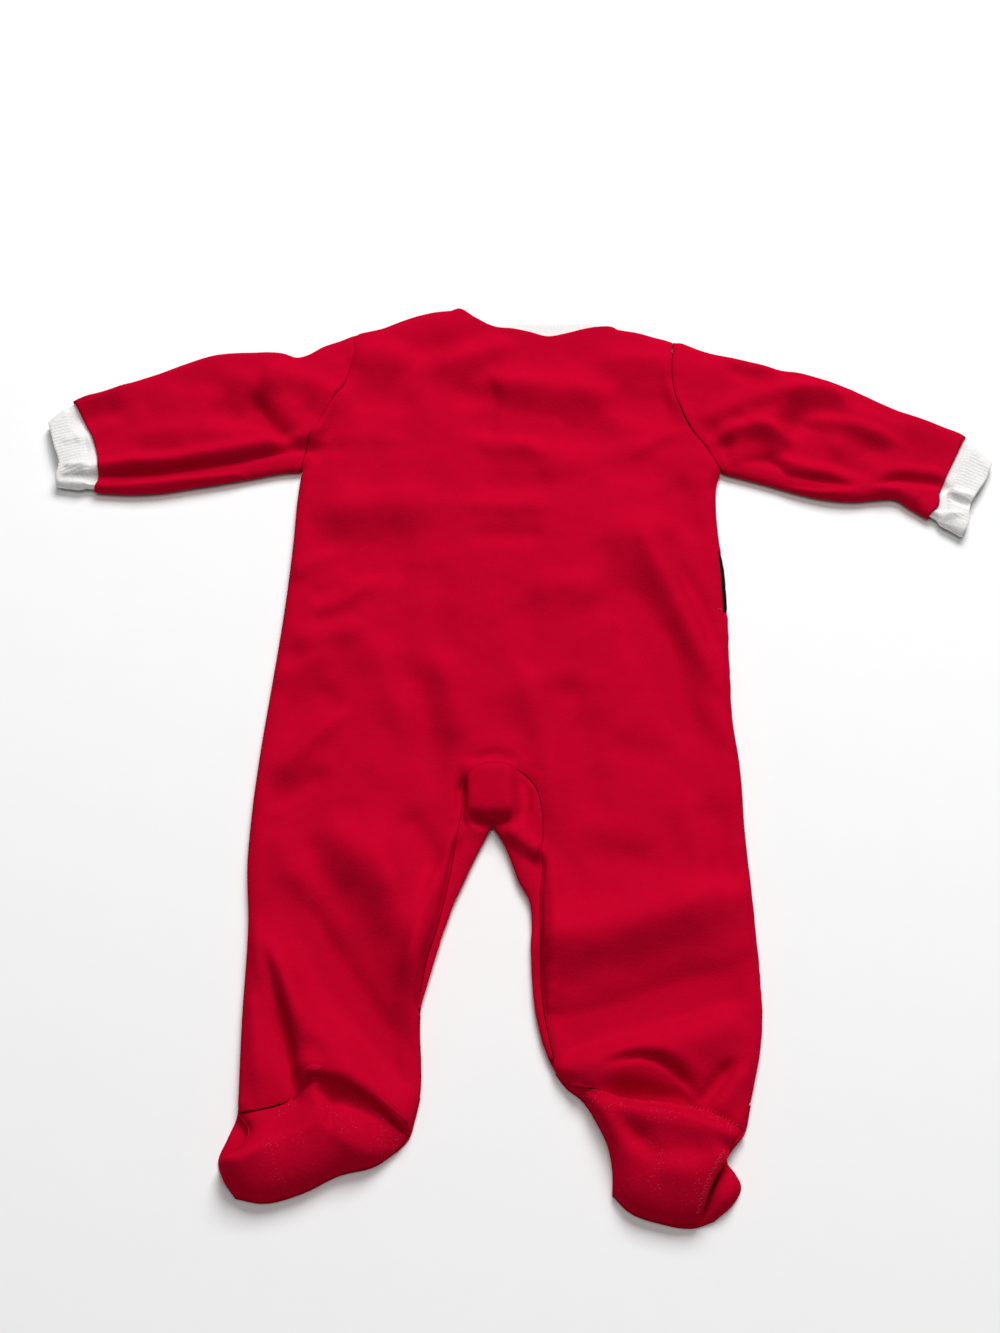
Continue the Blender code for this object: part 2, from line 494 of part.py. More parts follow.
def ruled(left, right, first, last, count, top=None, bottom=None, fade=3.0):
    """Plan grid whose rows run straight from a left to a right edge.

    Given end rows replace the straight ones, and their departures from
    straight fade from row to row by a power.
    """
    run = right - left
    length = np.linalg.norm(run, axis=1)
    share = stations(length, first, last, count) / length[:, None]
    grid = left[:, None] + share[..., None] * run[:, None]
    down = np.linspace(0.0, 1.0, len(left))[:, None, None]
    for row, weight, end in ((top, (1 - down)**fade, 0), (bottom, down**fade, -1)):
        if row is not None:
            grid = grid + weight * (row - grid[end])
    return grid


def even_rows(curve, count):
    """Points on a curve, ends included, at even steps."""
    return along(curve, np.linspace(0.0, 1.0, count + 1))


# ---- solids ----

def material(name):
    made = bpy.data.materials.get(name) or bpy.data.materials.new(name)
    colour, roughness = COLOURS[name]
    made.use_nodes = True
    shader = made.node_tree.nodes["Principled BSDF"]
    shader.inputs["Base Color"].default_value = (*colour, 1.0)
    shader.inputs["Roughness"].default_value = roughness
    shader.inputs["Metallic"].default_value = 1.0 if name == "stud_metal" else 0.0
    return made


def add_object(name, points, faces, finish):
    mesh = bpy.data.meshes.new(name)
    placed = (np.asarray(points) - (*PLAN_CENTRE, 0.0)) * MM
    mesh.from_pydata(placed.tolist(), [], faces)
    mesh.materials.append(material(finish))
    mesh.update()
    made = bpy.data.objects.new(name, mesh)
    bpy.context.scene.collection.objects.link(made)
    mesh.shade_smooth()
    mesh.set_sharp_from_angle(angle=math.radians(50))
    return made


def grid_faces(points, normals, start):
    """Triangles of a grid, numbered from start and facing along its normals."""
    rows, columns = points.shape[:2]
    first = start + (np.arange(rows - 1)[:, None] * columns + np.arange(columns - 1)).ravel()
    faces = np.concatenate([np.stack([first, first + 1, first + columns + 1], axis=1),
                            np.stack([first, first + columns + 1, first + columns], axis=1)])
    across = points[:-1, 1:] - points[:-1, :-1]
    down = points[1:, :-1] - points[:-1, :-1]
    backwards = (np.cross(across, down) * normals[:-1, :-1]).sum() < 0
    return faces[:, ::-1] if backwards else faces


DIAGONAL_WAY = np.array([0.31, 1.0, 0.0])   # both sides of a seam cut their end walls alike


def closed_wall(name, grids, finish):
    """Weld grids of (outer points, inner points, normals) and close every open edge."""
    numbered, start = [], 0
    for outer, _, normals in grids:
        numbered.append(grid_faces(outer, normals, start))
        start += outer.shape[0] * outer.shape[1]
    outer = np.concatenate([grid[0].reshape(-1, 3) for grid in grids])
    inner = np.concatenate([grid[1].reshape(-1, 3) for grid in grids])
    _, first, number = np.unique(np.round(outer, 3), axis=0, return_index=True,
                                 return_inverse=True)
    faces = number.ravel()[np.concatenate(numbered)].tolist()
    faces = [face for face in faces if len(set(face)) == 3]
    count = len(first)
    edges = {(a, b) for face in faces for a, b in zip(face, face[1:] + face[:1])}
    rim = [(a, b) for a, b in edges if (b, a) not in edges]
    inside = [[corner + count for corner in reversed(face)] for face in faces]
    points = np.concatenate([outer[first], inner[first]])
    walls = []
    for a, b in sorted(rim):
        if points[a] @ DIAGONAL_WAY > points[b] @ DIAGONAL_WAY:
            walls += [[b, a, b + count], [a, a + count, b + count]]
        else:
            walls += [[b, a, a + count], [b, a + count, b + count]]
    return add_object(name, points, faces + inside + walls, finish)


def cloth(name, patches, finish, thickness=FLEECE, raised=False):
    """A piece of cloth from plan grids, each with its layer, or a layer by column."""
    grids = []
    for xy, layer in patches:
        layer = np.broadcast_to(np.asarray(layer), xy.shape[:-1])
        points, normals = skin(xy, layer, raised)
        grids.append((points, points - thickness * normals, normals))
    return closed_wall(name, grids, finish)


def lump(name, xy, top, base, finish):
    """A rounded solid: a top face over a plan grid and a flat base under it."""
    outer = np.concatenate([xy, top[..., None]], axis=-1)
    inner = np.concatenate([xy, np.full_like(top, base)[..., None]], axis=-1)
    normals = np.zeros_like(outer) + (0.0, 0.0, 1.0)
    return closed_wall(name, [(outer, inner, normals)], finish)


# ---- rows shared by the pieces on both sides of a seam ----

UNDERARM_Y = 130.0
HIP_Y = GUSSET_TOP[1]
ARMHOLE_SHARES = np.array([0, 0.009, 0.034, 0.068, 0.21, 0.355, 0.5, 0.645, 0.79,
                           0.932, 0.966, 0.991, 1.0])
NECK_ROWS = 8           # rows of a front on the neckline, then the rows on its lap
LAP_HEIGHTS = [HIP_Y, -72.0, -78.5, LAP_CORNER_Y, -92.5, -99.8]
FRONT_LEG_ROWS = 14
GUSSET_STEPS = [0.0, 8.0, 16.0, 25.0, 36.0]     # closer rows round the gusset's top
GUSSET_ROWS = {"left": 11, "right": 14}
GUSSET_LAST_CELL = 1.0

EDGES = {"left": LEFT_EDGE, "right": RIGHT_EDGE}
INNER_EDGES = {"left": LEFT_INNER, "right": RIGHT_INNER}
ARMHOLES = {"left": smooth_curve(LEFT_ARMHOLE), "right": smooth_curve(RIGHT_ARMHOLE)}
GUSSETS = {"left": smooth_curve(LEFT_GUSSET), "right": smooth_curve(RIGHT_GUSSET)}
ANKLES = {"left": smooth_curve(LEFT_ANKLE), "right": smooth_curve(RIGHT_ANKLE)[::-1]}
FRONT_ANKLES = {"left": LEFT_FRONT_ANKLE, "right": RIGHT_FRONT_ANKLE[::-1]}
TRUNK_HEIGHTS = np.array([UNDERARM_Y, 118, 105, 94, 83, BELT_TOP_Y, 58, 45, BELT_BOTTOM_Y,
                          18, 4, -10, -24, -38, -52, HIP_Y])


def seam_inset(y, past=0.0):
    """Plan distance of the right side seam from its folded edge, plus some cloth."""
    table = np.array(RIGHT_SEAM_RISE, dtype=float)
    rise = np.interp(-np.asarray(y, dtype=float), -table[:, 0], table[:, 1]) + past
    return EDGE_ROLL * (1 - np.cos(rise / EDGE_ROLL))


def back_columns(side, y):
    """Steps in from the folded edge; on the right they begin at the side seam."""
    inset = seam_inset(y, SEAM)[:, None] if side == "right" else np.zeros((len(y), 1))
    return inset + ROLL_STEPS / EDGE_ROLL * (EDGE_ROLL - inset)


def armhole_rows(side):
    """Points down the armhole from the shoulder to the side edge."""
    curve = ARMHOLES[side]
    curve = curve[curve[:, 1] > UNDERARM_Y + 0.5]
    return along(np.concatenate([curve, at_height(EDGES[side], [UNDERARM_Y])]), ARMHOLE_SHARES)


def shoulder_of(side):
    """Shoulder line from the armhole to the neck point."""
    top, outward = (LEFT_TOP, 1) if side == "left" else (RIGHT_TOP, -1)
    return beyond(top, ARMHOLES[side][0, 0], outward)


def front_leg_edge(side):
    """Rows of a leg on its outer folded edge, as far as the front reaches."""
    return even_rows(between(EDGES[side], HIP_Y, FRONT_ANKLES[side][0][1]), FRONT_LEG_ROWS)


def gusset_seam(side):
    """Rows on the seam between the back and the crotch gusset."""
    curve = GUSSETS[side]
    length = lengths_of(curve)[-1]
    rest = np.linspace(GUSSET_STEPS[-1], length, GUSSET_ROWS[side] - len(GUSSET_STEPS) + 2)
    return along(curve, np.concatenate([GUSSET_STEPS, rest[1:]]) / length)


def neck_curve():
    """Neckband rows, closely sampled, cut at the two neck points."""
    curve = smooth_curve([row[:5] for row in NECKBAND], step=1.0)
    cuts = [int(np.linalg.norm(curve[:, :2] - NECKBAND[row][:2], axis=1).argmin())
            for row in (LEFT_NECK_ROW, RIGHT_NECK_ROW)]
    return curve[:cuts[0] + 1], curve[cuts[0]:cuts[1] + 1], curve[cuts[1]:]


# ---- upper layer: back and crotch gusset ----

def half_back(side):
    """Yoke, trunk and leg grids of one half of the back, from edge to middle."""
    edge, inside = EDGES[side], INNER_EDGES[side]
    inward = 1 if side == "left" else -1
    middle = np.array([NECK_MIDDLE, GUSSET_TOP])
    neck = smooth_curve(BACK_NECK)[::inward]
    neck = neck[inward * neck[:, 0] < inward * NECK_MIDDLE[0] - 0.5]
    neck_cells = HALF_CELLS - 2
    top = join(spread(shoulder_of(side), ROLL_STEPS, [0.0], 3),
               even_rows(np.concatenate([neck, [NECK_MIDDLE]]), neck_cells))

    heights = NECK_MIDDLE[1] - ARMHOLE_SHARES * (NECK_MIDDLE[1] - UNDERARM_Y)
    last = [0.0, LAST_CELL]
    yoke = ruled(armhole_rows(side), at_height(middle, heights),
                 back_columns(side, np.array([UNDERARM_Y])), last, HALF_CELLS, top=top)
    trunk = ruled(at_height(edge, TRUNK_HEIGHTS), at_height(middle, TRUNK_HEIGHTS),
                  back_columns(side, TRUNK_HEIGHTS), last, HALF_CELLS)

    ankle = ANKLES[side]
    outer = np.concatenate([front_leg_edge(side), edge[-1:]])
    below = between(inside, GUSSETS[side][-1, 1] - 6, inside[-1, 1])
    below = np.concatenate([GUSSETS[side][-1:], below])
    inner = join(gusset_seam(side), even_rows(below, len(outer) - 1 - GUSSET_ROWS[side]))
    narrow = np.linspace(LAST_CELL, LEG_LAST_CELL, len(outer))[:, None] * [0.0, 1.0]
    columns = back_columns(side, outer[:, 1])
    bottom = spread(ankle, columns[-1], narrow[-1], HALF_CELLS)
    leg = ruled(outer, inner, columns, narrow, HALF_CELLS, bottom=bottom, fade=6.0)
    return yoke, trunk, leg


def make_back():
    grids = half_back("left") + half_back("right")
    cloth("back", [(grid, 1) for grid in grids], "red_fleece")


def make_gusset():
    """The strip between the back's inner leg seams and the folded edge below it."""
    sides = []
    for side in ("left", "right"):
        seam = gusset_seam(side)
        outline = between(INNER_EDGES[side], CROTCH_TIP[1], seam[-1, 1])
        sides.append((even_rows(outline, GUSSET_ROWS[side]), seam))
    (left_out, left_in), (right_out, right_in) = sides
    outline = join(left_out[::-1], right_out)
    seam = join(left_in[::-1], right_in)
    width = np.linalg.norm(seam - outline, axis=1)
    first = ROLL_STEPS * np.minimum(1.0, width / (2 * EDGE_ROLL))[:, None]
    last = GUSSET_LAST_CELL * np.minimum(1.0, width / (3 * GUSSET_LAST_CELL))[:, None]
    cloth("crotch_gusset", [(ruled(outline, seam, first, last, 3), 1)], "red_fleece")


# ---- sleeves and cuffs ----

def arm_tube(name, over, under, ends, rows, finish, thickness):
    """A flattened tube between an over-arm and an under-arm edge."""
    over_rows, under_rows = even_rows(over, rows), even_rows(under, rows)
    start, end = (np.concatenate([over_rows[row:][:1], points[1:-1], under_rows[row:][:1]])
                  for row, points in zip((0, -1), ends))
    cells = len(ARMHOLE_SHARES) - 2 * len(ROLL_STEPS) + 1
    xy = ruled(over_rows, under_rows, ROLL_STEPS, ROLL_STEPS, cells, top=start, bottom=end)
    layer = np.ones(xy.shape[1], dtype=int)
    layer[[0, -1]] = 0
    cloth(name, [(xy, layer), (xy, -layer)], finish, thickness)


def make_arm(side):
    left = side == "left"
    outward = -1 if left else 1
    over, under = (LEFT_TOP, LEFT_UNDER) if left else (RIGHT_TOP, RIGHT_UNDER)
    gap = np.array([ARM_GAP * outward, 0.0])
    cells = len(ARMHOLE_SHARES) - 2 * len(ROLL_STEPS) + 1
    wrist, cuff_end = (spread(smooth_curve(points), ROLL_STEPS, ROLL_STEPS, cells) for points in
                       ((LEFT_WRIST, LEFT_CUFF_END) if left else (RIGHT_WRIST, RIGHT_CUFF_END)))
    armhole = armhole_rows(side) + gap
    cuff_start = wrist + gap
    tubes = []
    for start, end in ((armhole, wrist), (cuff_start, cuff_end)):
        edges = []
        for curve, row in ((over, 0), (under, -1)):
            curve = beyond(curve, start[row, 0], outward)
            edges.append(curve[outward * curve[:, 0] < outward * end[row, 0] + 0.1])
        tubes.append(edges)
    arm_tube("sleeve_" + side, *tubes[0], (armhole, wrist), SLEEVE_ROWS, "red_fleece",
             FLEECE)
    arm_tube("cuff_" + side, *tubes[1], (cuff_start, cuff_end), CUFF_ROWS, "white_rib", RIB)


# ---- lower layer: fronts and belt ----

def lap_line(side, heights):
    """Free edge of a front at the opening: the outer lap or the one under it."""
    heights = np.asarray(heights, dtype=float)
    x = lap_edge(heights)
    if side == "right":
        x = x + SEAM - 2 * LAP * np.interp(heights, [LAP_CORNER_Y, LAP_HEIGHTS[1]], [0.0, 1.0])
    return np.stack([x, heights], axis=-1)


def lap_columns(side, outer, inner):
    """Steps in from a front's inner edge; on the right they cross the lap's step."""
    if side == "left":
        return ROLL_STEPS * np.ones((len(inner), 1))
    slant = np.linalg.norm(inner - outer, axis=1) / (outer - inner)[:, 0]
    over = np.maximum(lap_edge(inner[:, 1]) + LAP_EASE - inner[:, 0], LAP_FIRST_CELL)
    return (over[:, None] + LAP_STEP * np.array([0.0, 0.35, 0.65, 1.0])) * slant[:, None]


def front_grid(side, outer, inner, top=None):
    columns = lap_columns(side, outer, inner)
    if side == "right":
        columns = np.concatenate([np.zeros((len(inner), 1)), columns], axis=1)
    if top is not None:
        top = spread(top, ROLL_STEPS, columns[0], FRONT_CELLS)
    return ruled(outer, inner, ROLL_STEPS, columns, FRONT_CELLS, top=top)


def yoke_inner(side):
    """Rows of a front yoke's inner side: neck point, neckline, then the lap."""
    first, _, last = neck_curve()
    band = even_rows(first, NECK_ROWS - 1)[::-1] if side == "left" else even_rows(
        last, NECK_ROWS - 1)
    seam = band[:, :2]
    away = seam - NECK_CENTRE
    seam = seam + NECK_GAP * away / np.linalg.norm(away, axis=1, keepdims=True)
    lap_rows = len(ARMHOLE_SHARES) - 1 - NECK_ROWS
    heights = np.linspace(seam[-1, 1], UNDERARM_Y, lap_rows + 1)[1:]
    return np.concatenate([shoulder_of(side)[-1:], seam, lap_line(side, heights)])


def front_leg_rows(side):
    """Outer and inner rows of a front's leg: the lap, the crotch, the inner leg."""
    outer = front_leg_edge(side)
    inside = INNER_EDGES[side]
    leg = between(inside, CROTCH_TIP[1] - 7.0, FRONT_ANKLES[side][1][1])
    leg = even_rows(leg, FRONT_LEG_ROWS - len(LAP_HEIGHTS))
    return outer, np.concatenate([lap_line(side, LAP_HEIGHTS), leg])


def wrap_grid(outer_rows):
    """The part of a right front that turns up round the edge to the side seam."""
    share = np.array([0.0, 0.2, 0.55, 1.0])
    steps = (share * seam_inset(outer_rows[:, 1])[:, None])[..., None]
    return outer_rows[:, None] - steps * (1.0, 0.0), np.array([-1, 1, 1, 1])


def front_piece(name, side, heights, finish, yoke=False, leg=False):
    """A front piece between two heights, with its yoke above or its leg below."""
    outer = at_height(EDGES[side], heights)
    grids = [front_grid(side, outer, lap_line(side, heights))]
    if yoke:
        grids.append(front_grid(side, armhole_rows(side), yoke_inner(side),
                                top=shoulder_of(side)))
    if leg:
        rows = front_leg_rows(side)
        grids.append(front_grid(side, *rows))
        outer = join(outer, rows[0])
    patches = [(grid, -1) for grid in grids]
    if side == "right":
        patches.append(wrap_grid(outer))
    cloth(name, patches, finish, raised=side == "right")


def trunk_heights(top, bottom):
    """Shared heights from top to bottom, cut back half a seam where a belt seam ends them."""
    heights = TRUNK_HEIGHTS[(TRUNK_HEIGHTS <= top) & (TRUNK_HEIGHTS >= bottom)].copy()
    if top < UNDERARM_Y:
        heights[0] -= SEAM / 2
    if bottom > HIP_Y:
        heights[-1] += SEAM / 2
    return heights


def make_fronts():
    for side in ("left", "right"):
        front_piece("front_upper_" + side, side, trunk_heights(UNDERARM_Y, BELT_TOP_Y),
                    "red_fleece", yoke=True)
        front_piece("belt_" + side, side, trunk_heights(BELT_TOP_Y, BELT_BOTTOM_Y),
                    "black_fleece")
        front_piece("front_lower_" + side, side, trunk_heights(BELT_BOTTOM_Y, HIP_Y),
                    "red_fleece", leg=True)


def make_studs():
    """Press studs, flush in pockets pressed into the outer lap."""
    for number in range(STUDS):
        y = STUD_TOP_Y - number * STUD_PITCH
        x = float(centre_front(y))
        stud = disc(f"stud_{number + 1}", x, y, 0.0, STUD_THICK, STUD_RADIUS)
        stud.data.materials.append(material("stud_metal"))
        pocket = disc("pocket", x, y, -1.0, STUD_THICK + SEAM, STUD_RADIUS + SEAM)
        owner = "front_upper_left" if y > BELT_TOP_Y else "front_lower_left"
        if BELT_BOTTOM_Y < y < BELT_TOP_Y:
            owner = "belt_left"
        cut(bpy.data.objects[owner], pocket)


def disc(name, x, y, bottom, top, radius):
    mesh = bpy.data.meshes.new(name)
    shape = bmesh.new()
    bmesh.ops.create_cone(shape, cap_ends=True, segments=STUD_SIDES, radius1=radius * MM,
                          radius2=radius * MM, depth=(top - bottom) * MM)
    place = ((x - PLAN_CENTRE[0]) * MM, (y - PLAN_CENTRE[1]) * MM, (bottom + top) / 2 * MM)
    bmesh.ops.translate(shape, verts=shape.verts, vec=place)
    shape.to_mesh(mesh)
    shape.free()
    made = bpy.data.objects.new(name, mesh)
    bpy.context.scene.collection.objects.link(made)
    return made


def cut(target, cutter):
    """Take a cutter out of a piece for good."""
    boolean = target.modifiers.new("pocket", "BOOLEAN")
    boolean.operation = "DIFFERENCE"
    boolean.object = cutter
    view = bpy.context.evaluated_depsgraph_get()
    target.data = bpy.data.meshes.new_from_object(target.evaluated_get(view))
    target.modifiers.clear()
    bpy.data.objects.remove(cutter)


# ---- neckband ----

def make_neckband():
    """An open ring of rib, from the outer lap round the neck to the under lap."""
    first, middle, last = neck_curve()
    rows = join(even_rows(first, NECK_ROWS - 1), even_rows(middle, NECK_BACK_ROWS),
                even_rows(last, NECK_ROWS - 1))
    share = np.linspace(0.0, 1.0, NECKBAND_COLUMNS)[:, None]
    plan = rows[:, None, 0:2] * (1 - share) + rows[:, None, 2:4] * share
    height = np.broadcast_to(np.maximum(rows[:, None, 4:5], 0.0), plan.shape[:-1] + (1,))
    outer = np.concatenate([plan, height], axis=-1)
    normals = np.cross(np.gradient(outer, axis=0), np.gradient(outer, axis=1))
    normals /= np.linalg.norm(normals, axis=-1, keepdims=True)
    closed_wall("neckband", [(outer, outer - RIB * normals, normals)], "white_rib")


# ---- feet ----

def foot_outline(edges):
    return [smooth_curve(edges[part]) for part in ("outer", "end", "inner")]


def crossing(starts, ends, curve):
    """How far along each straight run it first meets a curve, or 0."""
    share = np.linspace(0.0, 0.5, 200)[:, None]
    found = []
    for start, end in zip(starts, ends):
        gaps, ways = nearest_on([curve], start + share * (end - start))
        inside = (ways @ (end - start) > 0) & (gaps > 0.05)
        reached = np.where(inside[5:] & ~inside[4:-1])[0]
        share_there = share[reached[0] + 5, 0] if len(reached) else 0.0
        found.append(share_there * np.linalg.norm(end - start))
    return np.array(found)


def make_upper(side):
    """A foot upper, flat on the floor, its toe standing up beside the sole."""
    edges = LEFT_UPPER_EDGE if side == "left" else RIGHT_UPPER_EDGE
    sole = LEFT_SOLE_EDGE if side == "left" else RIGHT_SOLE_EDGE
    outer, end, inner = foot_outline(edges)
    outer, inner = even_rows(outer, FOOT_ROWS), even_rows(inner, FOOT_ROWS)
    shown = np.maximum(crossing(outer, inner, smooth_curve(sole["outer"])) - 2 * TOE_DROP, 1.0)
    first = np.stack([0 * shown, shown / 2, shown, shown + TOE_DROP], axis=1)
    last = [0.0, 1.2, 5.0]
    bottom = spread(end, first[-1], last, 3)
    xy = ruled(outer, inner, first, last, 3, bottom=bottom, fade=5.0)
    full, _ = rounding(nearest_on(foot_outline(edges), xy)[0], UPPER_ROLL)
    toe = swelling_rise(xy, TOES)
    toe[:, 3:] = 0.0
    toe *= ramp(shown, *TOE_SHOWN)[:, None]
    top = UPPER_EDGE + (FLEECE - UPPER_EDGE + toe) * full
    lump("foot_upper_" + side, xy, top, 0.0, "red_fleece")


def make_sole(side):
    """A sole folded over its foot, in one rounded lump on the upper."""
    edges = LEFT_SOLE_EDGE if side == "left" else RIGHT_SOLE_EDGE
    outer, end, inner = foot_outline(edges)
    top = half_back(side)[2][-1] - (0.0, 4 * SEAM)
    columns, narrow = ROLL_STEPS, [0.0, 3.0]
    bottom = spread(end, columns, narrow, HALF_CELLS)
    xy = ruled(even_rows(outer, FOOT_ROWS), even_rows(inner, FOOT_ROWS), columns, narrow,
               HALF_CELLS, top=top, bottom=bottom)
    full, _ = rounding(nearest_on([outer, end, inner], xy)[0], FOOT_ROLL)
    low = SOLE_BASE_Z + SOLE_EDGE
    height = low + (SOLE_LOFT + fold_rise(xy, SOLE_FOLDS) - low) * full
    lump("foot_sole_" + side, xy, height, SOLE_BASE_Z, "red_fleece")


def main():
    for old in list(bpy.data.objects):
        bpy.data.objects.remove(old)
    make_back()
    make_gusset()
    make_fronts()
    make_studs()
    make_neckband()
    for side in ("left", "right"):
        make_arm(side)
        make_upper(side)
        make_sole(side)


main()
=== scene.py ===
"""Looks of a footed fleece sleeper for a small baby, laid out flat on its front.

Plan sizes are in millimetres, as in the part's source: x runs to the wearer's
right, y towards the neck and z up from the floor. The tables of folded edges,
seams and folds have the part's names and nearly all of its values. Finer cloth
is worked out from them: soft waves, puckers and grooves along the seams, thin
free edges, ribs, stitches.
"""

import math

import bpy
import numpy as np
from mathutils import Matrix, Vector


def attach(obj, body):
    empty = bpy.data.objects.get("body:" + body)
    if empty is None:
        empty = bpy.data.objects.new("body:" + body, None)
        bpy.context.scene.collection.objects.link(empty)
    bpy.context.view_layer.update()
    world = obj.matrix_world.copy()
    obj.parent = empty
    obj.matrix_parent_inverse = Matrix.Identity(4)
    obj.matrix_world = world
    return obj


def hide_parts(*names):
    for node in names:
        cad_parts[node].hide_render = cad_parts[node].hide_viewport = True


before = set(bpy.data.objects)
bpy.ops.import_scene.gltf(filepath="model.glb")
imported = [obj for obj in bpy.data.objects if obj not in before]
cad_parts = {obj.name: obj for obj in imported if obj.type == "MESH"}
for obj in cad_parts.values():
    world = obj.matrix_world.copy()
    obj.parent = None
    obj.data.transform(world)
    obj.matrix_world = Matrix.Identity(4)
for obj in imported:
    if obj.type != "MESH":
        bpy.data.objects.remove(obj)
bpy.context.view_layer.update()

bl_info = {
    "name": "Footed fleece sleeper",
    "version": (1, 0, 0),
    "blender": (4, 5, 0),
    "location": "View3D > Sidebar > Sleeper",
    "description": "Cloth, rib knit, press studs and stitching of a footed fleece sleeper",
    "category": "Object",
}

MM = 0.001

# Cloth and layers, as in the part's source
FLEECE = 2.2            # thickness of the fleece
RIB = 1.8               # thickness of the ribbed knit
SEAM = 0.3              # gap between neighbouring pieces
LOFT = 9.4              # height of the laid out garment, before its folds
FOLD_Z = 3.8            # height of the folded edges
EDGE_ROLL = 7.0         # the cloth rounds down to a folded edge over this width
EDGE_ROOM = 2.4         # the upper layer keeps this much more room beside the edges
PLAN_CENTRE = (10.5, -30.25)
FRONT_LEAN = 0.08       # how far the centre front leans to the right, for each unit up
LAP = 10.0              # half the overlap of the laps
LAP_LIFT = FLEECE + SEAM
LAP_EASE = 1.8          # the lifted front stays level this far past the outer lap
LAP_STEP = 7.0          # and comes down over this width
LAP_CORNER_Y = -84.5
STUDS = 6
STUD_TOP_Y = 183.0
STUD_PITCH = 47.0
BELT_TOP_Y = 71.0
BELT_BOTTOM_Y = 32.0
SOLE_BASE_Z = FLEECE + SEAM
SOLE_EDGE = 1.3         # thickness of a sole at its edge
CURVE_STEP = 2.5

# Floor, light and camera, in metres
FLOOR_Z = -0.0002
FLOOR_HALF = 4.0
CAMERA_PLACE = (-0.0105, -0.52975, 0.97)
CAMERA_TILT = 30.0      # degrees
CAMERA_LENS = 54.01     # millimetres, as the sensor
CAMERA_SENSOR = 36.0
SOFTBOXES = [           # (name, place, size, share of the power)
    ("key_softbox", (0.52, 1.95, 2.25), 1.5, 0.78),
    ("top_softbox", (0.0, -0.1, 3.1), 1.6, 0.22),
]
SKY = 0.08

# Unevenness of the cloth
NOISE_SIDE = 128        # the lattice of soft_noise repeats after this many points
NOISE_OFFSET = 200.37   # keeps the places on the lattice above zero
WAVES = [(38.0, 1.1), (20.0, 0.7), (10.0, 0.36), (5.0, 0.12)]     # (size, rise) of soft_waves
DRAPE_SIZE = (17.0, 60.0)
DRAPE_RISE = 1.0
DRAPE_SEED = 31
TRUNK_HALF = 135.0      # the drapes end at this half width of the trunk
TRUNK_FADE = 20.0
UNDERSIDE_WAVE = 0.3    # the fronts bear on the floor at their high spots
UNDERSIDE_SIZE = 9.0
UNDERSIDE_SEED = 21
FOLD_POINTS = 9         # points on the bent line of a fold
FOLD_REACH = 3.0        # half widths from the line, where a fold is taken to end
FOLD_FADE = 0.3         # share of the line over which a fold rises at either end
FOLD_END_WIDTH = 0.6    # share of its width that a fold keeps at its ends

# Edges and seams
ROLL_TURNS = np.radians([0, 9, 18, 27, 36, 46, 56, 67, 78, 90])
ROLL_STEPS = EDGE_ROLL * (1.0 - np.cos(ROLL_TURNS))
EDGE_ROOM_REACH = 2.2 * EDGE_ROLL
HEM_STEPS = np.array([0.0, 0.35, 0.9, 1.7])     # closer rows beside a free edge
HEM_BLUNT = 0.12        # a free edge is cut this far along its rounding, so it isn't sharp
HEM_ROUNDING = 0.7      # width of the rounding, in thicknesses
SEAM_STEPS = np.array([0.0, 0.7, 1.6, 2.8])     # close steps of a grid beside a seam
SEAM_GROOVE = 0.6       # depth of the groove along a seam
GROOVE_WIDTH = 2.0
PUCKER = 0.38           # height of the puckers beside a seam
PUCKER_REACH = 6.0
PUCKER_START = (0.4, 3.0)       # they begin between these distances from it
PUCKER_WAVES = [(4.2, 1.0, 11), (7.5, 0.6, 12)]     # (size, share, seed)
CUT_GAP = 0.2           # where a curve is cut, its points closer than this are left out
JOIN_GAP = 0.5          # and where two curves are joined
ON_LINE = 0.05          # a point closer than this to a curve counts as on it
POINTS_AT_ONCE = 2000   # nearest_on works through this many points at a time
LINE_POINTS = 120       # points on a worked out line
ARMHOLE_POINTS = 60

# Upper layer at the crotch and along the inner legs
LEAST_SOFTNESS = 1.2    # how softly the upper layer comes to rest on the layers below
LAP_ROOM = (6.0, 14.0)  # it keeps clear of the laps, up to between these widths past them
LAP_ROOM_Y = (-104.0, -92.0)
STRIP_HEIGHT = 5.4      # the strips along the inner legs lie low beside the back
STRIP_STEP = 2.4
STRIPS = {"left": ((-104, -120), (-196, -212)), "right": ((-118, -126), (-204, -220))}
STRIP_PARTING_X = 1.0   # the left leg's strip lies left of this, and the right's right of it
GUSSET_FINER = 2.0      # the gusset's steep folds need a closer grid than the back's
GUSSET_WIDTH = 14.0
GUSSET_NARROW = 12.0    # where the gusset is narrower, its rounding narrows with it
GUSSET_TIP = 3.0        # and where it is narrower than this, its gap to the seam too
GUSSET_JOIN = 3.0       # the back's edge goes on this far below the gusset's end
LEG_FADE = 6.0

# Laps and fronts
LAP_FULL_Y = -72.0      # the laps lie fully over each other above this height
LAP_END = (-0.4, 0.2)   # from the crotch tip to the outer lap's end
LAP_FADE_Y = (-93.5, -86.5)     # the lift of the right front begins between these heights
LAP_STEPS = np.concatenate([HEM_STEPS, np.arange(3.0, 31.0, 2.2)])
LAP_TOP_Y = 196.0
LAP_ROWS = 24
FRONT_WIDTH = 90.0
WRAP_POINTS = 7         # across the part of a right front that turns up to the side seam
WRAP_POWER = 1.6
BELT_REACH = 140.0      # the belt's seams run this far to either side

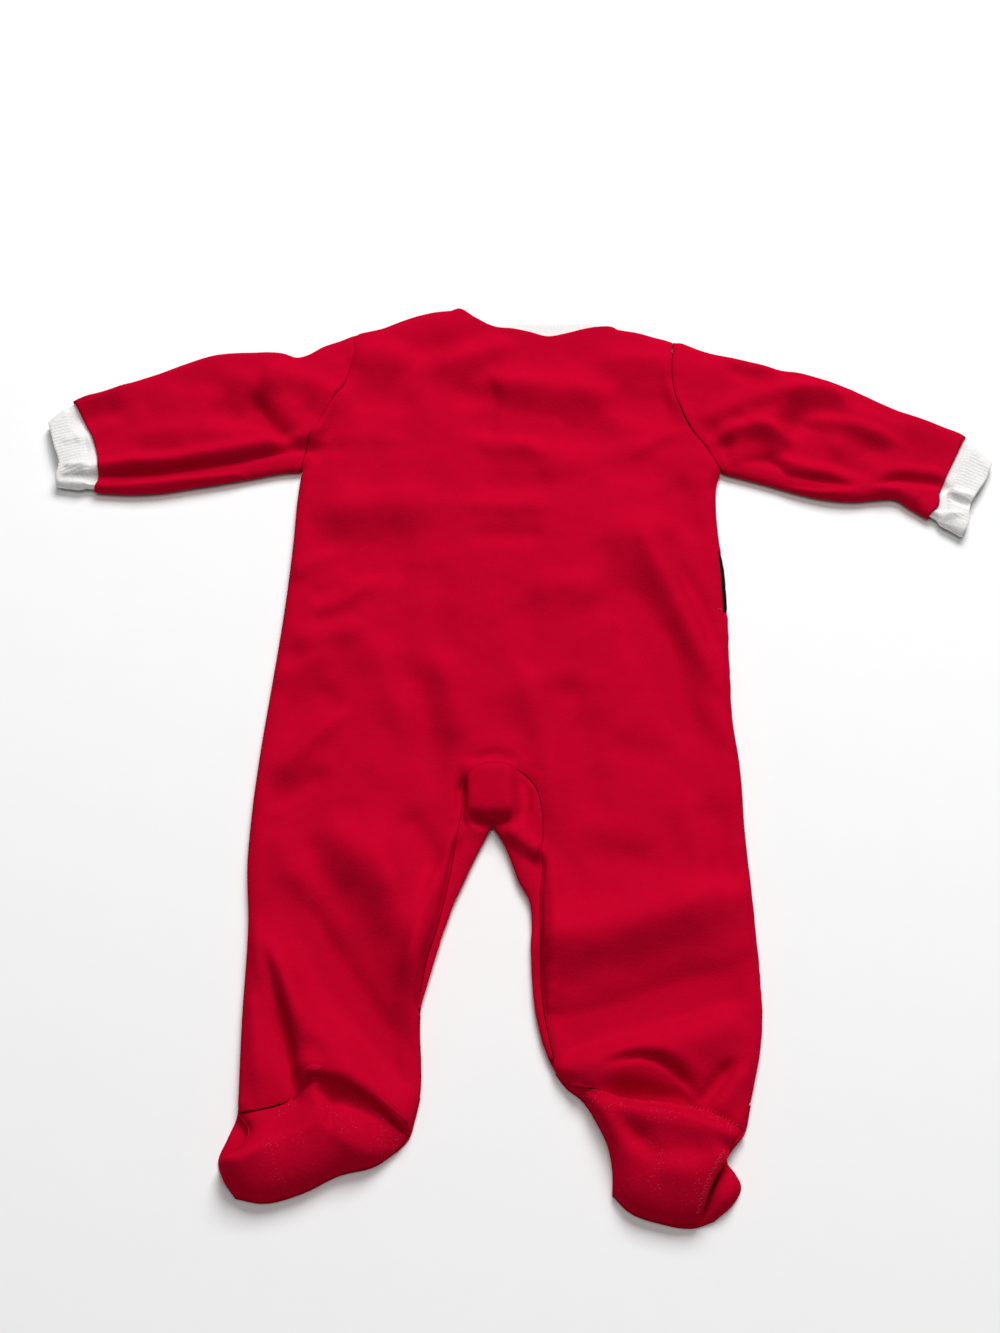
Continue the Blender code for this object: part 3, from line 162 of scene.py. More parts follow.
# Ribs, cuffs and neckband
RIB_PITCH = 2.3         # the knit's ribs
RIB_DEPTH = 0.22
NECK_ROWS = 380
NECK_POINTS = 9         # across the band
NECK_WIDTH = 12.0
NECK_RIBS = 0.8         # depth of the band's ribs, as a share of the cuffs'
NECK_BLUNT = 0.15       # the band's free edge, as HEM_BLUNT
NECK_ROUNDING = 0.9
CUFF_CELL = 0.62
CUFF_TUCK = 2.4         # the cuff starts this far inside its sleeve
CUFF_RISE = 7.0         # and comes up to its full height this far outside

# Press studs
STUD_SIDES = 28
STUD_PROFILE = [(0.0, 0.35), (1.6, 0.35), (2.3, 0.1), (3.4, 0.0), (4.4, 0.02), (4.85, 0.2),
                (5.0, 0.5), (4.9, 0.8), (4.6, 1.0), (0.0, 1.0)]   # (radius, height)

# Ankles and feet
ANKLE_TOP_Y = -225.0
ANKLE_GAP = {"left": SEAM, "right": 0.06}
LIP_ROLLS = {"left": 3.4, "right": 0.0}     # how far the leg rolls down to the ankle seam
LIP_WIDTH = 3.4
LIP_START = (-107.0, -95.0)     # the left leg overhangs its sole from here on
LIP_CLEAR = 1.5         # the sole lies this much lower than the leg at the seam
LIP_SLOPE = 0.6         # and rises from there by this much a millimetre at most
LIP_TUCK = 6.0          # the sole carries on under the overhang
FOOT_WIDTH = 85.0
FOOT_ROLL = 10.0        # a sole rounds down to its sides over this width
END_ROLL = {"left": 24.0, "right": 34.0}    # and to its toe or heel over this one
SOLE_STEPS = np.array([0.0, 0.25, 0.7, 1.4, 2.4])
SOLE_BLEND = 11.0       # it carries on from the leg over this width
SOLE_LEAST = 1.2        # least height of a sole's middle above its edge
RIGHT_TOE_Y = -279.0    # the right sole joins the toe below this height
TOE_DROP = 2.2
TOE_ROLL = 5.0
TOE_START = (0.2, 2.4)  # the toe stands up between these distances outside the sole
UPPER_STEPS = np.array([0.0, 0.3, 0.8, 1.6, 2.8])
UPPER_EDGE = 1.1        # thickness of a foot upper at its edge
UPPER_ROLL = 4.0
UPPER_FADE = 5.0

# Stitches
STITCH_RADIUS = 0.13
STITCH_ARCH = 0.15
STITCH_RISE = 0.4       # height of a stitch's ends above the cloth, in radii
STITCH_RINGS = 6
STITCH_SIDES = 6
ZIGZAG_STEP = 1.5       # the sole's zigzag beside the toe: step, place and width
ZIGZAG_IN = 1.3
ZIGZAG_WIDTH = 1.9
ZIGZAG_WAY = (0.86, -0.5)       # from the sole to the toe
ANKLE_STITCH = (0.5, 0.9)       # half a stitch across the ankle seam
ANKLE_STITCH_STEP = 1.9
ANKLE_STITCH_X = (92.0, 118.0)
BELT_STITCH_X = 122.5   # a straight line of stitches just inside the belt's lower seam
BELT_STITCH_STEP = 1.7
BELT_STITCH_IN = 1.1
BELT_STITCH_GAP = (0.3, 0, 0)   # half the gap between two stitches
BELT_STITCHES = 3

# Folds of the cuffs, as FOLDS
CUFF_FOLDS = [
    (262, 118, 268, 112, 280, 110, 3.0, 2.4), (262, 112, 270, 106, 280, 103, 2.4, -1.8),
    (250, 104, 258, 98, 272, 99, 2.6, 2.0), (-258, 132, -250, 131, -240, 131, 2.0, 1.3),
    (-262, 124, -252, 124, -240, 125, 2.2, -1.4), (-262, 150, -254, 151, -246, 153, 3.0, 0.9),
]

# Folded edges of the laid out garment, from neck or crotch outwards (x, y)
LEFT_ARM_TOP = [(-30, 251.5), (-40, 250.5), (-58, 244.5), (-75, 236.5), (-88.5, 233.2),
                (-94, 230), (-108, 223), (-118, 215.7), (-123, 213.7), (-131.6, 216.3),
                (-151, 216.5), (-170.6, 214.5), (-193, 206.6), (-214, 197.5),
                (-236, 188), (-258.5, 180.5), (-265, 173), (-271, 166.5)]
LEFT_ARM_UNDER = [(-117, 131), (-127, 130.3), (-146, 126.3), (-164.5, 122.4), (-183, 118.9),
                  (-201.4, 115.6), (-214.6, 114.8), (-229, 115.3), (-240.5, 116.5),
                  (-250, 118), (-260.5, 119.5)]
RIGHT_ARM_TOP = [(73, 236.4), (86, 233.6), (98, 229.7), (106, 227.3), (112, 226),
                 (121, 221.2), (142, 213), (158, 207), (170, 202.6), (183, 201),
                 (195, 197), (211, 189), (229, 177.8), (246.5, 168.4), (260, 163),
                 (278.5, 154.5), (285, 146), (292, 137)]
RIGHT_ARM_UNDER = [(131, 130), (143, 126.3), (157, 121.7), (174.6, 115.5), (192.5, 111),
                   (208.6, 109.7), (221, 111), (232, 111), (239, 105.5), (250.5, 96.5),
                   (258, 91), (267.5, 84.5)]
LEFT_SIDE = [(-117, 131), (-118.5, 113), (-119.5, 80), (-122, 36), (-126, -10), (-130, -52),
             (-133, -100), (-133.3, -122), (-130.8, -155), (-130.6, -210), (-129.5, -257.5)]
RIGHT_SIDE = [(131, 130), (128, 120), (126.8, 105), (127, 85), (128.6, 60), (129, 34),
              (128.2, -5), (128.2, -38), (130.3, -62), (130.8, -105), (132.5, -150),
              (133.3, -190), (132, -219), (127.5, -241), (120.5, -267)]
CROTCH_TIP = (-4.0, -101.0)
LEFT_INSIDE = [CROTCH_TIP, (-5.6, -103.5), (-8.5, -109.5), (-13.5, -120), (-18, -131),
               (-24, -145), (-30.5, -166), (-36.5, -188), (-40, -203), (-40.3, -215),
               (-39.4, -232), (-39.6, -248), (-42, -259), (-45, -269)]
RIGHT_INSIDE = [CROTCH_TIP, (-2.4, -103.5), (1.5, -110), (5.5, -120), (9.5, -132),
                (15.3, -144), (16.6, -156), (15.8, -172), (16.4, -190), (18, -205),
                (21.5, -221), (26, -233), (33, -243.5)]

# Seams of the upper layer (x, y)
LEFT_ARMHOLE = [(-88.5, 233.2), (-90, 211), (-95, 188), (-108, 163), (-115, 144), (-117, 131)]
RIGHT_ARMHOLE = [(106, 227.3), (104.5, 203), (105.5, 184), (112, 162), (121.5, 146), (131, 130)]
BACK_NECK = [(-30, 251.5), (-26, 250.5), (-14.8, 242.3), (-2.5, 236.2), (9.2, 234.8),
             (20, 232.4), (29, 229.6), (40, 231.3), (52, 234.8), (62, 236.7), (73, 236.4)]
NECK_MIDDLE = (20.0, 232.4)
GUSSET_TOP = (-1.6, -66.0)
LEFT_GUSSET = [GUSSET_TOP, (-9, -67.5), (-16, -71.5), (-20.3, -80), (-20.6, -92), (-22.4, -107),
               (-25, -124), (-28, -142), (-32, -160), (-37, -177), (-39.2, -190), (-41.4, -203.5)]
RIGHT_GUSSET = [GUSSET_TOP, (6.5, -67.6), (13.8, -73), (19.5, -82), (22.3, -94), (22.8, -110),
                (22, -126), (20.4, -142), (20.2, -160), (20.2, -178), (21, -197), (26.6, -230)]
LEFT_ANKLE = [(-129.5, -257.5), (-117, -256.5), (-106, -253.5), (-100.5, -251), (-97.5, -246.5),
              (-93, -243.6), (-86, -244.6), (-74, -249.5), (-61.5, -256.5), (-51.5, -264.5),
              (-45, -269)]
RIGHT_ANKLE = [(33, -243.5), (45, -247), (62, -249.5), (79.5, -251.5), (94, -254),
               (101, -256.5), (109, -260.5), (120.5, -267)]

# The side seam on the right shows on top: (y, how far up round the edge it sits)
RIGHT_SEAM_RISE = [(131, 2.0), (95, 2.2), (72, 5.4), (30, 6.0), (-20, 5.2), (-60, 3.6),
                   (-110, 4.6), (-200, 6.2), (-236, 4.4), (-256, 2.0), (-268, 2.0)]

# Sleeve ends, from over to under the arm, and the cuffs' open ends (x, y)
LEFT_WRIST = [(-258.5, 180.5), (-249.8, 164), (-242.5, 148), (-238.6, 131.4), (-238.3, 123.5),
              (-240.5, 116.5)]
RIGHT_WRIST = [(278.5, 154.5), (272, 141.3), (263, 122.5), (258.2, 111.4), (257.4, 104),
               (250.5, 96.5)]
LEFT_CUFF_END = [(-271, 166.5), (-264.7, 146.4), (-260.5, 133.3), (-261.5, 126), (-260.5, 119.5)]
RIGHT_CUFF_END = [(292, 137), (287.2, 126), (273.8, 103), (271.6, 91), (267.5, 84.5)]

# Lower seams where a leg front meets a foot upper (x, y)
LEFT_FRONT_ANKLE = [(-129.9, -248), (-39.6, -248)]
RIGHT_FRONT_ANKLE = [(27.5, -235.4), (124.6, -252)]

# Foot uppers, lying flat: inner side, toe or heel end, and outer side (x, y)
LEFT_UPPER_EDGE = {
    "outer": [(-129.8, -248.5), (-130.2, -258), (-134.5, -270), (-138, -280.5), (-135.5, -288.5),
              (-128.5, -298.5)],
    "end": [(-128.5, -298.5), (-115, -300.9), (-97, -296.4), (-78, -287.2), (-61, -282.7),
            (-50, -275)],
    "inner": [(-39.6, -248.5), (-41.9, -259), (-45, -269.5), (-50, -275)],
}
RIGHT_UPPER_EDGE = {
    "outer": [(124.5, -252.5), (120.6, -266.5), (113.5, -275.5), (110.8, -280), (114.5, -286),
              (117.5, -293), (114, -300), (103.5, -309.4)],
    "end": [(103.5, -309.4), (94, -312.7), (77, -310.5), (62, -304.8), (54.5, -297)],
    "inner": [(27.7, -236), (33, -243.5), (40, -249), (48, -261.5), (53, -273), (54.8, -284),
              (54.5, -297)],
}
# Soles, on top of the uppers
LEFT_SOLE_EDGE = {
    "outer": [(-128.5, -258), (-122.8, -267), (-127, -275.5), (-136.8, -282), (-135.3, -288.8),
              (-128.5, -298.3)],
    "end": [(-128.5, -298.3), (-115, -300.7), (-97, -296.2), (-78, -287), (-61, -282.5),
            (-50, -274.8)],
    "inner": [(-45.3, -269.8), (-50, -274.8)],
    "ankle": LEFT_ANKLE,
}
RIGHT_SOLE_EDGE = {
    "outer": [(119.8, -267), (112.2, -276.2), (110, -281), (102, -294.5), (95.7, -311)],
    "end": [(95.7, -311), (86, -311.6), (77, -310.3), (62, -304.6), (54.6, -297)],
    "inner": [(33.3, -244.2), (40, -249.2), (48, -261.7), (53, -273.2), (54.8, -284),
              (54.6, -297)],
    "ankle": RIGHT_ANKLE,
}

# Neckband: seam edge (x, y), free edge (x, y), height of the outer face, layer
NECKBAND = [
    (30, 195.8, 29, 208.3, 0.0, -1), (17, 195.8, 18, 208.3, 0.0, -1),
    (3, 199, 6.5, 211, 0.0, -1), (-9, 207, -2, 217, 0.0, -1),
    (-18, 218.5, -8.5, 226, 0.0, -1), (-22.6, 228.5, -11.5, 232.5, 0.5, -1),
    (-24, 235.5, -12.5, 237.5, 2.7, 0), (-18.5, 233.5, -9.5, 238.8, 5.0, 1),
    (-8, 230, -4, 240.6, 5.4, 1), (6, 227, 8, 242, 5.6, 1), (29, 225.5, 29, 242.7, 5.4, 1),
    (48, 227.2, 47, 242.8, 5.6, 1), (61, 227.8, 60, 241.8, 5.1, 1),
    (67.5, 227, 65.8, 239.6, 2.7, 0), (66.4, 220.5, 57, 229, 0.5, -1),
    (61, 211.5, 52.5, 221, 0.0, -1), (52, 203.5, 45, 214, 0.0, -1),
    (41, 198.4, 37.5, 210.4, 0.6, -1), (33.5, 196.8, 31.5, 209, 2.5, -1),
    (22, 195.8, 21.5, 208.3, 2.5, -1), (10, 195.8, 10, 208.3, 2.5, -1),
]
LEFT_NECK_ROW, RIGHT_NECK_ROW = 6, 13   # rows where the band folds over at the neck
NECK_CENTRE = np.array([20.0, 224.0])

# Folds of the upper layer, each a soft ridge or trough along a bent line:
# start x, y, middle x, y, end x, y, half width, rise
FOLDS = [
    # neck and shoulders
    (-70, 229, -36, 220, 6, 236, 9, -3.2), (-54, 196, -18, 212, 16, 223, 11, 5.6),
    (-34, 188, -12, 184, 2, 188, 10, -4.2), (-94, 216, -72, 212, -50, 206, 12, 4.6),
    (-92, 182, -70, 180, -44, 178, 13, -4.2), (-26, 190, 28, 188, 74, 178, 11, 6.2),
    (-30, 164, 30, 158, 84, 150, 12, -5.6), (-20, 146, 4, 148, 30, 138, 8, 3.0),
    (20, 138, 34, 134, 52, 126, 9, 2.0), (4, 214, 32, 212, 58, 218, 9, -2.0),
    (52, 209, 82, 209, 112, 206, 11, 4.0), (60, 180, 88, 176, 110, 172, 11, -4.0),
    (-108, 160, -100, 150, -96, 136, 7, -2.0), (-14, 142, 10, 142, 32, 137, 8, 2.2),
    (-16, 119, 10, 117, 36, 117, 9, -3.0), (-104, 150, -80, 152, -50, 148, 7, 1.5),
    # chest and waist
    (-114, 97, -74, 102, -18, 102, 13, 5.0), (-32, 102, 2, 101, 38, 100, 7, 2.4),
    (48, 82, 82, 82, 106, 92, 15, 6.0), (56, 124, 78, 128, 104, 126, 11, -2.4),
    (-114, 76, -76, 73, -34, 80, 13, -4.8), (-96, 56, -70, 58, -46, 62, 9, -2.4),
    (-122, 52, -106, 64, -82, 78, 7, 3.2), (-108, 39, -98, 43, -82, 52, 7, -2.2),
    (-108, 16, -92, 23, -74, 31, 8, -2.0), (-124, 6, -98, 16, -68, 20, 9, 3.6),
    (-24, 81, 6, 81, 30, 81, 7, -2.6), (12, 43, 38, 45, 62, 41, 11, 3.4),
    (102, 130, 108, 100, 116, 74, 9, -3.6), (78, 88, 98, 38, 126, -36, 8, 7.0),
    (58, 68, 86, 6, 118, -72, 14, -7.0), (88, 10, 112, -30, 130, -62, 9, 3.0),
    (-14, 70, -8, 40, -10, 6, 9, 1.5), (-40, 64, -34, 30, -36, -8, 10, -1.6),
    (14, 44, 16, 12, 18, -24, 8, -1.5), (56, 74, 60, 40, 58, 6, 9, 1.5),
    # hips and crotch
    (-132, -16, -110, -6, -88, 4, 8, 2.8), (-126, -48, -108, -32, -82, -18, 10, -4.6),
    (-128, -80, -106, -55, -78, -28, 7, 4.6), (-126, -94, -108, -80, -88, -70, 7, -3.0),
    (-82, 18, -60, -12, -48, -64, 11, 3.6), (-60, 4, -42, -36, -34, -92, 9, -4.4),
    (-38, 10, -26, -26, -22, -62, 8, 3.8), (8, 4, 24, -50, 32, -124, 9, 4.0),
    (32, -2, 44, -52, 48, -116, 12, -3.0), (-24, -58, -4, -54, 16, -60, 7, 1.0),
    (56, -52, 76, -60, 98, -58, 10, -2.0),
    # left leg
    (-74, -88, -60, -120, -54, -156, 8, 3.6), (-54, -92, -42, -110, -31, -138, 8, -3.8),
    (-104, -104, -92, -132, -76, -160, 9, -2.4), (-100, -98, -56, -148, -26, -232, 15, 11.5),
    (-114, -126, -82, -190, -28, -258, 11, -8.4), (-130, -150, -98, -213, -42, -262, 9, 7.4),
    (-116, -160, -103, -208, -92, -250, 7, 3.0), (-112, -234, -76, -245, -30, -272, 7, 5.4),
    (-118, -100, -112, -122, -102, -144, 8, 1.8),
    # right leg
    (4, -170, 64, -162, 146, -130, 16, 12.0), (-4, -222, 62, -210, 150, -172, 12, -9.4),
    (20, -244, 70, -228, 132, -214, 13, 6.4), (110, -80, 116, -112, 122, -148, 10, -4.2),
    (96, -78, 103, -108, 110, -138, 10, 2.8), (40, -106, 62, -104, 88, -110, 9, 1.5),
    (40, -122, 62, -120, 88, -126, 9, -1.5),
    # left sleeve
    (-92, 214, -180, 198, -272, 166, 22, 5.0), (-160, 128, -126, 135, -98, 145, 7.5, -8.0),
    (-142, 206, -130, 176, -108, 156, 9, 2.6), (-176, 174, -158, 168, -138, 160, 11, -5.0),
    (-172, 192, -150, 190, -126, 184, 8, 2.6), (-146, 202, -124, 193, -92, 183, 10, 5.0),
    (-124, 172, -109, 166, -94, 160, 8, -2.4), (-258, 161, -242, 167, -218, 172, 8, -4.0),
    (-222, 142, -201, 139, -180, 140, 7, -1.8), (-226, 152, -176, 156, -122, 154, 9, 2.8),
    (-210, 208, -180, 211, -146, 213, 7, 2.0), (-206, 190, -176, 190, -146, 186, 9, -2.6),
    (-252, 148, -240, 156, -224, 168, 7, 2.4),
    # right sleeve
    (92, 212, 190, 180, 296, 140, 22, 6.4), (114, 160, 146, 174, 200, 188, 8, 4.2),
    (120, 149, 136, 155, 154, 166, 7, -3.4), (134, 201, 150, 194, 168, 187, 7, -2.2),
    (212, 158, 188, 168, 172, 148, 8, -4.2), (200, 146, 217, 142, 234, 139, 7, -2.2),
    (192, 136, 205, 130, 220, 126, 7, -2.0), (120, 110, 147, 125, 172, 134, 8, -10.0),
    (214, 119, 234, 112, 248, 106, 7, 2.4), (202, 180, 224, 171, 248, 161, 7, -2.6),
]

# Finer creases, as FOLDS
CREASES = [
    # neck and shoulders
    (-94, 240, -90, 220, -86, 200, 5, 1.2), (102, 214, 103, 186, 120, 152, 4, 2.2),
    (-95, 196, -103, 170, -116, 142, 5.5, 3.8), (74, 136, 92, 149, 110, 158, 5, 2.0),
    # chest and waist
    (-108, 27, -86, 40, -62, 57, 6, 2.8), (100, 70, 113, 32, 127, -12, 5, -3.2),
    # hips and crotch
    (20, -6, 34, -9, 48, -7, 6, 0.5), (22, -18, 34, -20, 46, -18, 6, -0.6),
    (-20, -74, -4, -61, 12, -71, 2.6, -1.6), (-20.5, -72, -20.8, -86, -19.6, -102, 2.2, -4.0),
    (8, -70, 14, -86, 8, -104, 3.4, -3.6), (-2, -108, 9, -118, 19, -125, 3.4, -3.0),
    (-19, -95, -5, -101.5, 10, -95, 2.2, -5.0), (-20.5, -76, -20.5, -86, -18, -97, 2.2, -5.0),
    (46, -245, 74, -249.5, 104, -255, 5, -3.6), (2, -103, 13, -113, 25, -122, 5.5, 4.6),
    (-20, -98, -34, -140, -54, -212, 5, 4.6), (26, -112, 28, -162, 25, -226, 5, 4.6),
    # left leg
    (-123, -168, -110, -212, -99, -262, 4, -6.6), (-129, -186, -122, -222, -118, -256, 5, 2.8),
    # right leg
    (98, -194, 114, -198, 128, -194, 6, -3.0), (46, -240, 78, -233, 104, -260, 2.2, -3.6),
    (46, -234, 80, -228, 108, -250, 4.5, 1.8), (94, -262, 106, -245, 120, -229, 3.4, -5.8),
    (104, -262, 114, -248, 124, -234, 5, 2.6), (29, -238, 36, -243, 46, -245, 4, -2.2),
    (50, -251, 76, -251, 104, -258, 6, -4.0),
    # left sleeve
    (-262, 123, -178, 128.5, -92, 150, 3.2, -9.0), (-262, 130, -178, 137, -96, 160, 5.5, 6.0),
    (-226, 116, -164, 123, -108, 130, 4.5, 0.8), (-150, 186, -138, 162, -112, 138, 6, -5.6),
    (-256, 178, -240, 184, -216, 188, 6, 1.8),
    # right sleeve
    (128, 148, 152, 162, 182, 172, 6, 2.8), (130, 209, 150, 203, 170, 197, 6, 1.8),
    (214, 172, 186, 184, 164, 166, 6, 3.0), (164, 170, 162, 152, 170, 138, 6, 2.4),
    (176, 166, 208, 158, 244, 140, 5, 2.8), (190, 146, 205, 144, 214, 140, 6, 1.6),
    (118, 143, 150, 157, 178, 141, 6, 6.5), (138, 132, 168, 122.5, 214, 117, 3.2, -8.0),
    (158, 139, 180, 129, 214, 124, 5, 3.6), (142, 118, 176, 113, 226, 109, 4, 1.6),
    (214, 117, 244, 121, 268, 114, 3.2, -4.4), (214, 124, 244, 128, 268, 121, 4.5, 1.8),
    (132, 154, 133, 140, 132, 126, 5, -3.2),
]

# Broad swellings of the upper layer: x, y, half width in x, in y, rise
SWELLINGS = [
    (5, 60, 70, 60, 3.0), (5, -20, 60, 60, 1.2), (22, 236, 50, 16, 0.9),
    (-85, -236, 42, 26, 2.6), (78, -228, 46, 22, 1.2),
    (-285, 140, 34, 60, -1.5), (305, 120, 44, 60, -1.5), (10, 170, 50, 30, 1.2),
    (-2, -86, 40, 26, 2.0),
]
CROTCH_DOME = {"x": -6.0, "y": -82.5, "half_x": 14.0, "half_y": 16.5, "rise": 5.5,
               "power": 8}

# Folds of the soles and of the toe, which stands above its sole's edge
SOLE_FOLDS = [
    # left: ridge up the foot, hollow under the leg's lip, toe
    (-134, -296, -116, -270, -92, -240, 7.0, 3.5), (-104, -243, -72, -255, -36, -276, 6, -9.0),
    (-84, -248, -82.5, -259, -82, -272, 3.2, -3.4), (-144, -266, -131, -268, -118, -256, 6, -7.0),
    (-84, -272, -66, -276, -46, -281, 6, 2.0),
    # right: ridge across the foot, hollows above and beside it, toe
    (48, -262, 86, -266, 126, -273, 6, 2.5), (44, -250, 60, -265, 76, -284, 6, -4.4),
    (66, -280, 84, -281, 106, -279, 6, -2.0), (74, -289, 88, -291, 102, -293, 7, 1.5),
]
SOLE_LOFT = 20.0
TOES = [(-131, -274, 9, 8, 1.0), (107, -297, 10, 13, 7.5)]   # as SWELLINGS, on the uppers

# ---- curves in the plan ----

def lengths_of(curve):
    """Distance run at each point of a polyline."""
    return np.concatenate([[0.0], np.cumsum(np.linalg.norm(np.diff(curve, axis=0), axis=1))])


def along(curve, fractions):
    """The points at these fractions of a polyline's length."""
    lengths = lengths_of(curve)
    where = np.asarray(fractions) * lengths[-1]
    return np.stack([np.interp(where, lengths, column) for column in curve.T], axis=-1)


def smooth_curve(points, step=CURVE_STEP):
    """A curve through the points (Hermite spans on chord lengths), sampled evenly."""
    points = np.array(points, dtype=float)
    at = lengths_of(points)
    slope = np.gradient(points, at, axis=0)
    fine = np.linspace(0.0, at[-1], max(8, int(at[-1] / step * 3)))
    part = np.clip(np.searchsorted(at, fine, side="right") - 1, 0, len(at) - 2)
    width = np.diff(at)[part][:, None]
    t = (fine - at[part])[:, None] / width
    curve = ((2 * t**3 - 3 * t**2 + 1) * points[part] + (t**3 - 2 * t**2 + t) * width * slope[part]
             + (3 * t**2 - 2 * t**3) * points[part + 1] + (t**3 - t**2) * width * slope[part + 1])
    return along(curve, np.linspace(0.0, 1.0, max(4, int(at[-1] / step) + 1)))


def join(*curves):
    """One polyline from several that meet end to end."""
    return np.concatenate([curves[0]] + [curve[1:] for curve in curves[1:]])


def at_height(curve, heights):
    """The points of a curve that runs down the plan, at these y."""
    heights = np.asarray(heights, dtype=float)
    return np.stack([np.interp(-heights, -curve[:, 1], curve[:, 0]), heights], axis=-1)


def between(curve, top, bottom):
    """The stretch of a falling curve between two heights, ends included."""
    inside = curve[(curve[:, 1] < top - CUT_GAP) & (curve[:, 1] > bottom + CUT_GAP)]
    return np.concatenate([at_height(curve, [top]), inside, at_height(curve, [bottom])])


def beyond(curve, x, outward):
    """The stretch of a level curve past x, starting at x, outward being -1 or 1."""
    curve = curve[np.argsort(outward * curve[:, 0])]
    start = [[x, np.interp(outward * x, outward * curve[:, 0], curve[:, 1])]]
    return np.concatenate([start, curve[outward * curve[:, 0] > outward * x + CUT_GAP]])


def centre_front(y):
    """The centre front line leans with the neck."""
    return CROTCH_TIP[0] + (np.asarray(y, dtype=float) - CROTCH_TIP[1]) * FRONT_LEAN


LEFT_TOP, LEFT_UNDER, LEFT_EDGE, LEFT_INNER = (smooth_curve(points) for points in (
    LEFT_ARM_TOP, LEFT_ARM_UNDER, LEFT_SIDE, LEFT_INSIDE))
RIGHT_TOP, RIGHT_UNDER, RIGHT_EDGE, RIGHT_INNER = (smooth_curve(points) for points in (
    RIGHT_ARM_TOP, RIGHT_ARM_UNDER, RIGHT_SIDE, RIGHT_INSIDE))
# Each folded edge runs with the cloth on its left hand
FOLDED_EDGES = [LEFT_TOP, LEFT_UNDER[::-1], LEFT_EDGE, LEFT_INNER[::-1],
                RIGHT_INNER, RIGHT_EDGE[::-1], RIGHT_UNDER, RIGHT_TOP[::-1]]


def nearest_on(curves, xy):
    """Distance to the nearest of some polylines, and the unit way from it to each point."""
    start = np.concatenate([curve[:-1] for curve in curves])
    run = np.concatenate([np.diff(curve, axis=0) for curve in curves])
    size = (run**2).sum(axis=1)
    flat = xy.reshape(-1, 2)
    distance, way = np.empty(len(flat)), np.empty((len(flat), 2))
    for first in range(0, len(flat), POINTS_AT_ONCE):
        these = slice(first, first + POINTS_AT_ONCE)
        offset = flat[these, None] - start
        t = np.clip((offset * run).sum(axis=2) / size, 0.0, 1.0)
        away = offset - t[..., None] * run
        gaps = np.linalg.norm(away, axis=2)
        rows, nearest = np.arange(len(gaps)), gaps.argmin(axis=1)
        gap = gaps[rows, nearest][:, None]
        near_run = run[nearest]
        beside = np.stack([-near_run[:, 1], near_run[:, 0]], axis=1)
        beside /= np.linalg.norm(beside, axis=1, keepdims=True)
        out = away[rows, nearest] / np.maximum(gap, 1e-6)
        distance[these] = gap[:, 0]
        way[these] = np.where(gap > ON_LINE, out, beside)
    return distance.reshape(xy.shape[:-1]), way.reshape(xy.shape)


# ---- heights ----

def soft_noise(xy, size, seed):
    """Random lattice values, blended smoothly from one lattice point to the next."""
    values = np.random.default_rng(seed).uniform(-1.0, 1.0, (NOISE_SIDE, NOISE_SIDE))
    at = xy / size + NOISE_OFFSET
    low = np.floor(at).astype(int)
    t = at - low
    t = t * t * (3 - 2 * t)
    i, j = low[..., 0] % NOISE_SIDE, low[..., 1] % NOISE_SIDE
    i2, j2 = (i + 1) % NOISE_SIDE, (j + 1) % NOISE_SIDE
    near = values[i, j] * (1 - t[..., 0]) + values[i2, j] * t[..., 0]
    far = values[i, j2] * (1 - t[..., 0]) + values[i2, j2] * t[..., 0]
    return near * (1 - t[..., 1]) + far * t[..., 1]


def soft_waves(xy):
    """Unevenness of cloth lying loose: smooth noise of several sizes, and drapes down the trunk."""
    waves = sum(rise * soft_noise(xy, size, seed) for seed, (size, rise) in enumerate(WAVES))
    on_trunk = np.clip((TRUNK_HALF - np.abs(xy[..., 0])) / TRUNK_FADE, 0.0, 1.0)
    return waves + DRAPE_RISE * on_trunk * soft_noise(xy / DRAPE_SIZE, 1.0, DRAPE_SEED)


def fold_rise(xy, folds):
    """Sum of soft ridges: rise times a bell of the distance to each bent line.

    Towards both ends of its line a ridge grows lower and narrower.
    """
    total = np.zeros(xy.shape[:-1])
    t = np.linspace(0.0, 1.0, FOLD_POINTS)[:, None]
    for x1, y1, x2, y2, x3, y3, width, rise in folds:
        start, middle, end = np.array([(x1, y1), (x2, y2), (x3, y3)], dtype=float)
        control = 2 * middle - (start + end) / 2
        path = (1 - t)**2 * start + 2 * t * (1 - t) * control + t**2 * end
        reach = FOLD_REACH * width
        near = ((xy > path.min(axis=0) - reach) & (xy < path.max(axis=0) + reach)).all(axis=-1)
        points = xy[near]
        gap, place = np.full(len(points), 1e9), np.zeros(len(points))
        for number, (first, run) in enumerate(zip(path[:-1], np.diff(path, axis=0))):
            offset = points - first
            part = np.clip(offset @ run / (run @ run), 0.0, 1.0)
            away = ((offset - part[:, None] * run)**2).sum(axis=1)
            place = np.where(away < gap, (number + part) / (FOLD_POINTS - 1), place)
            gap = np.minimum(gap, away)
        full = ramp(place, 0.0, FOLD_FADE) * (1 - ramp(place, 1 - FOLD_FADE, 1.0))
        narrowed = width * (FOLD_END_WIDTH + (1 - FOLD_END_WIDTH) * full)
        total[near] += rise * full * np.exp(-gap / narrowed**2)
    return total


def swelling_rise(xy, swellings):
    """Sum of round swellings: rise times a bell in x and y."""
    total = np.zeros(xy.shape[:-1])
    for x, y, half_x, half_y, rise in swellings:
        total += rise * np.exp(-((xy[..., 0] - x) / half_x)**2 - ((xy[..., 1] - y) / half_y)**2)
    return total


def at_least(value, lowest, softness=0.5):
    """The larger of two heights, blended where they are close."""
    return 0.5 * (value + lowest + np.sqrt((value - lowest)**2 + softness**2)) - softness / 4


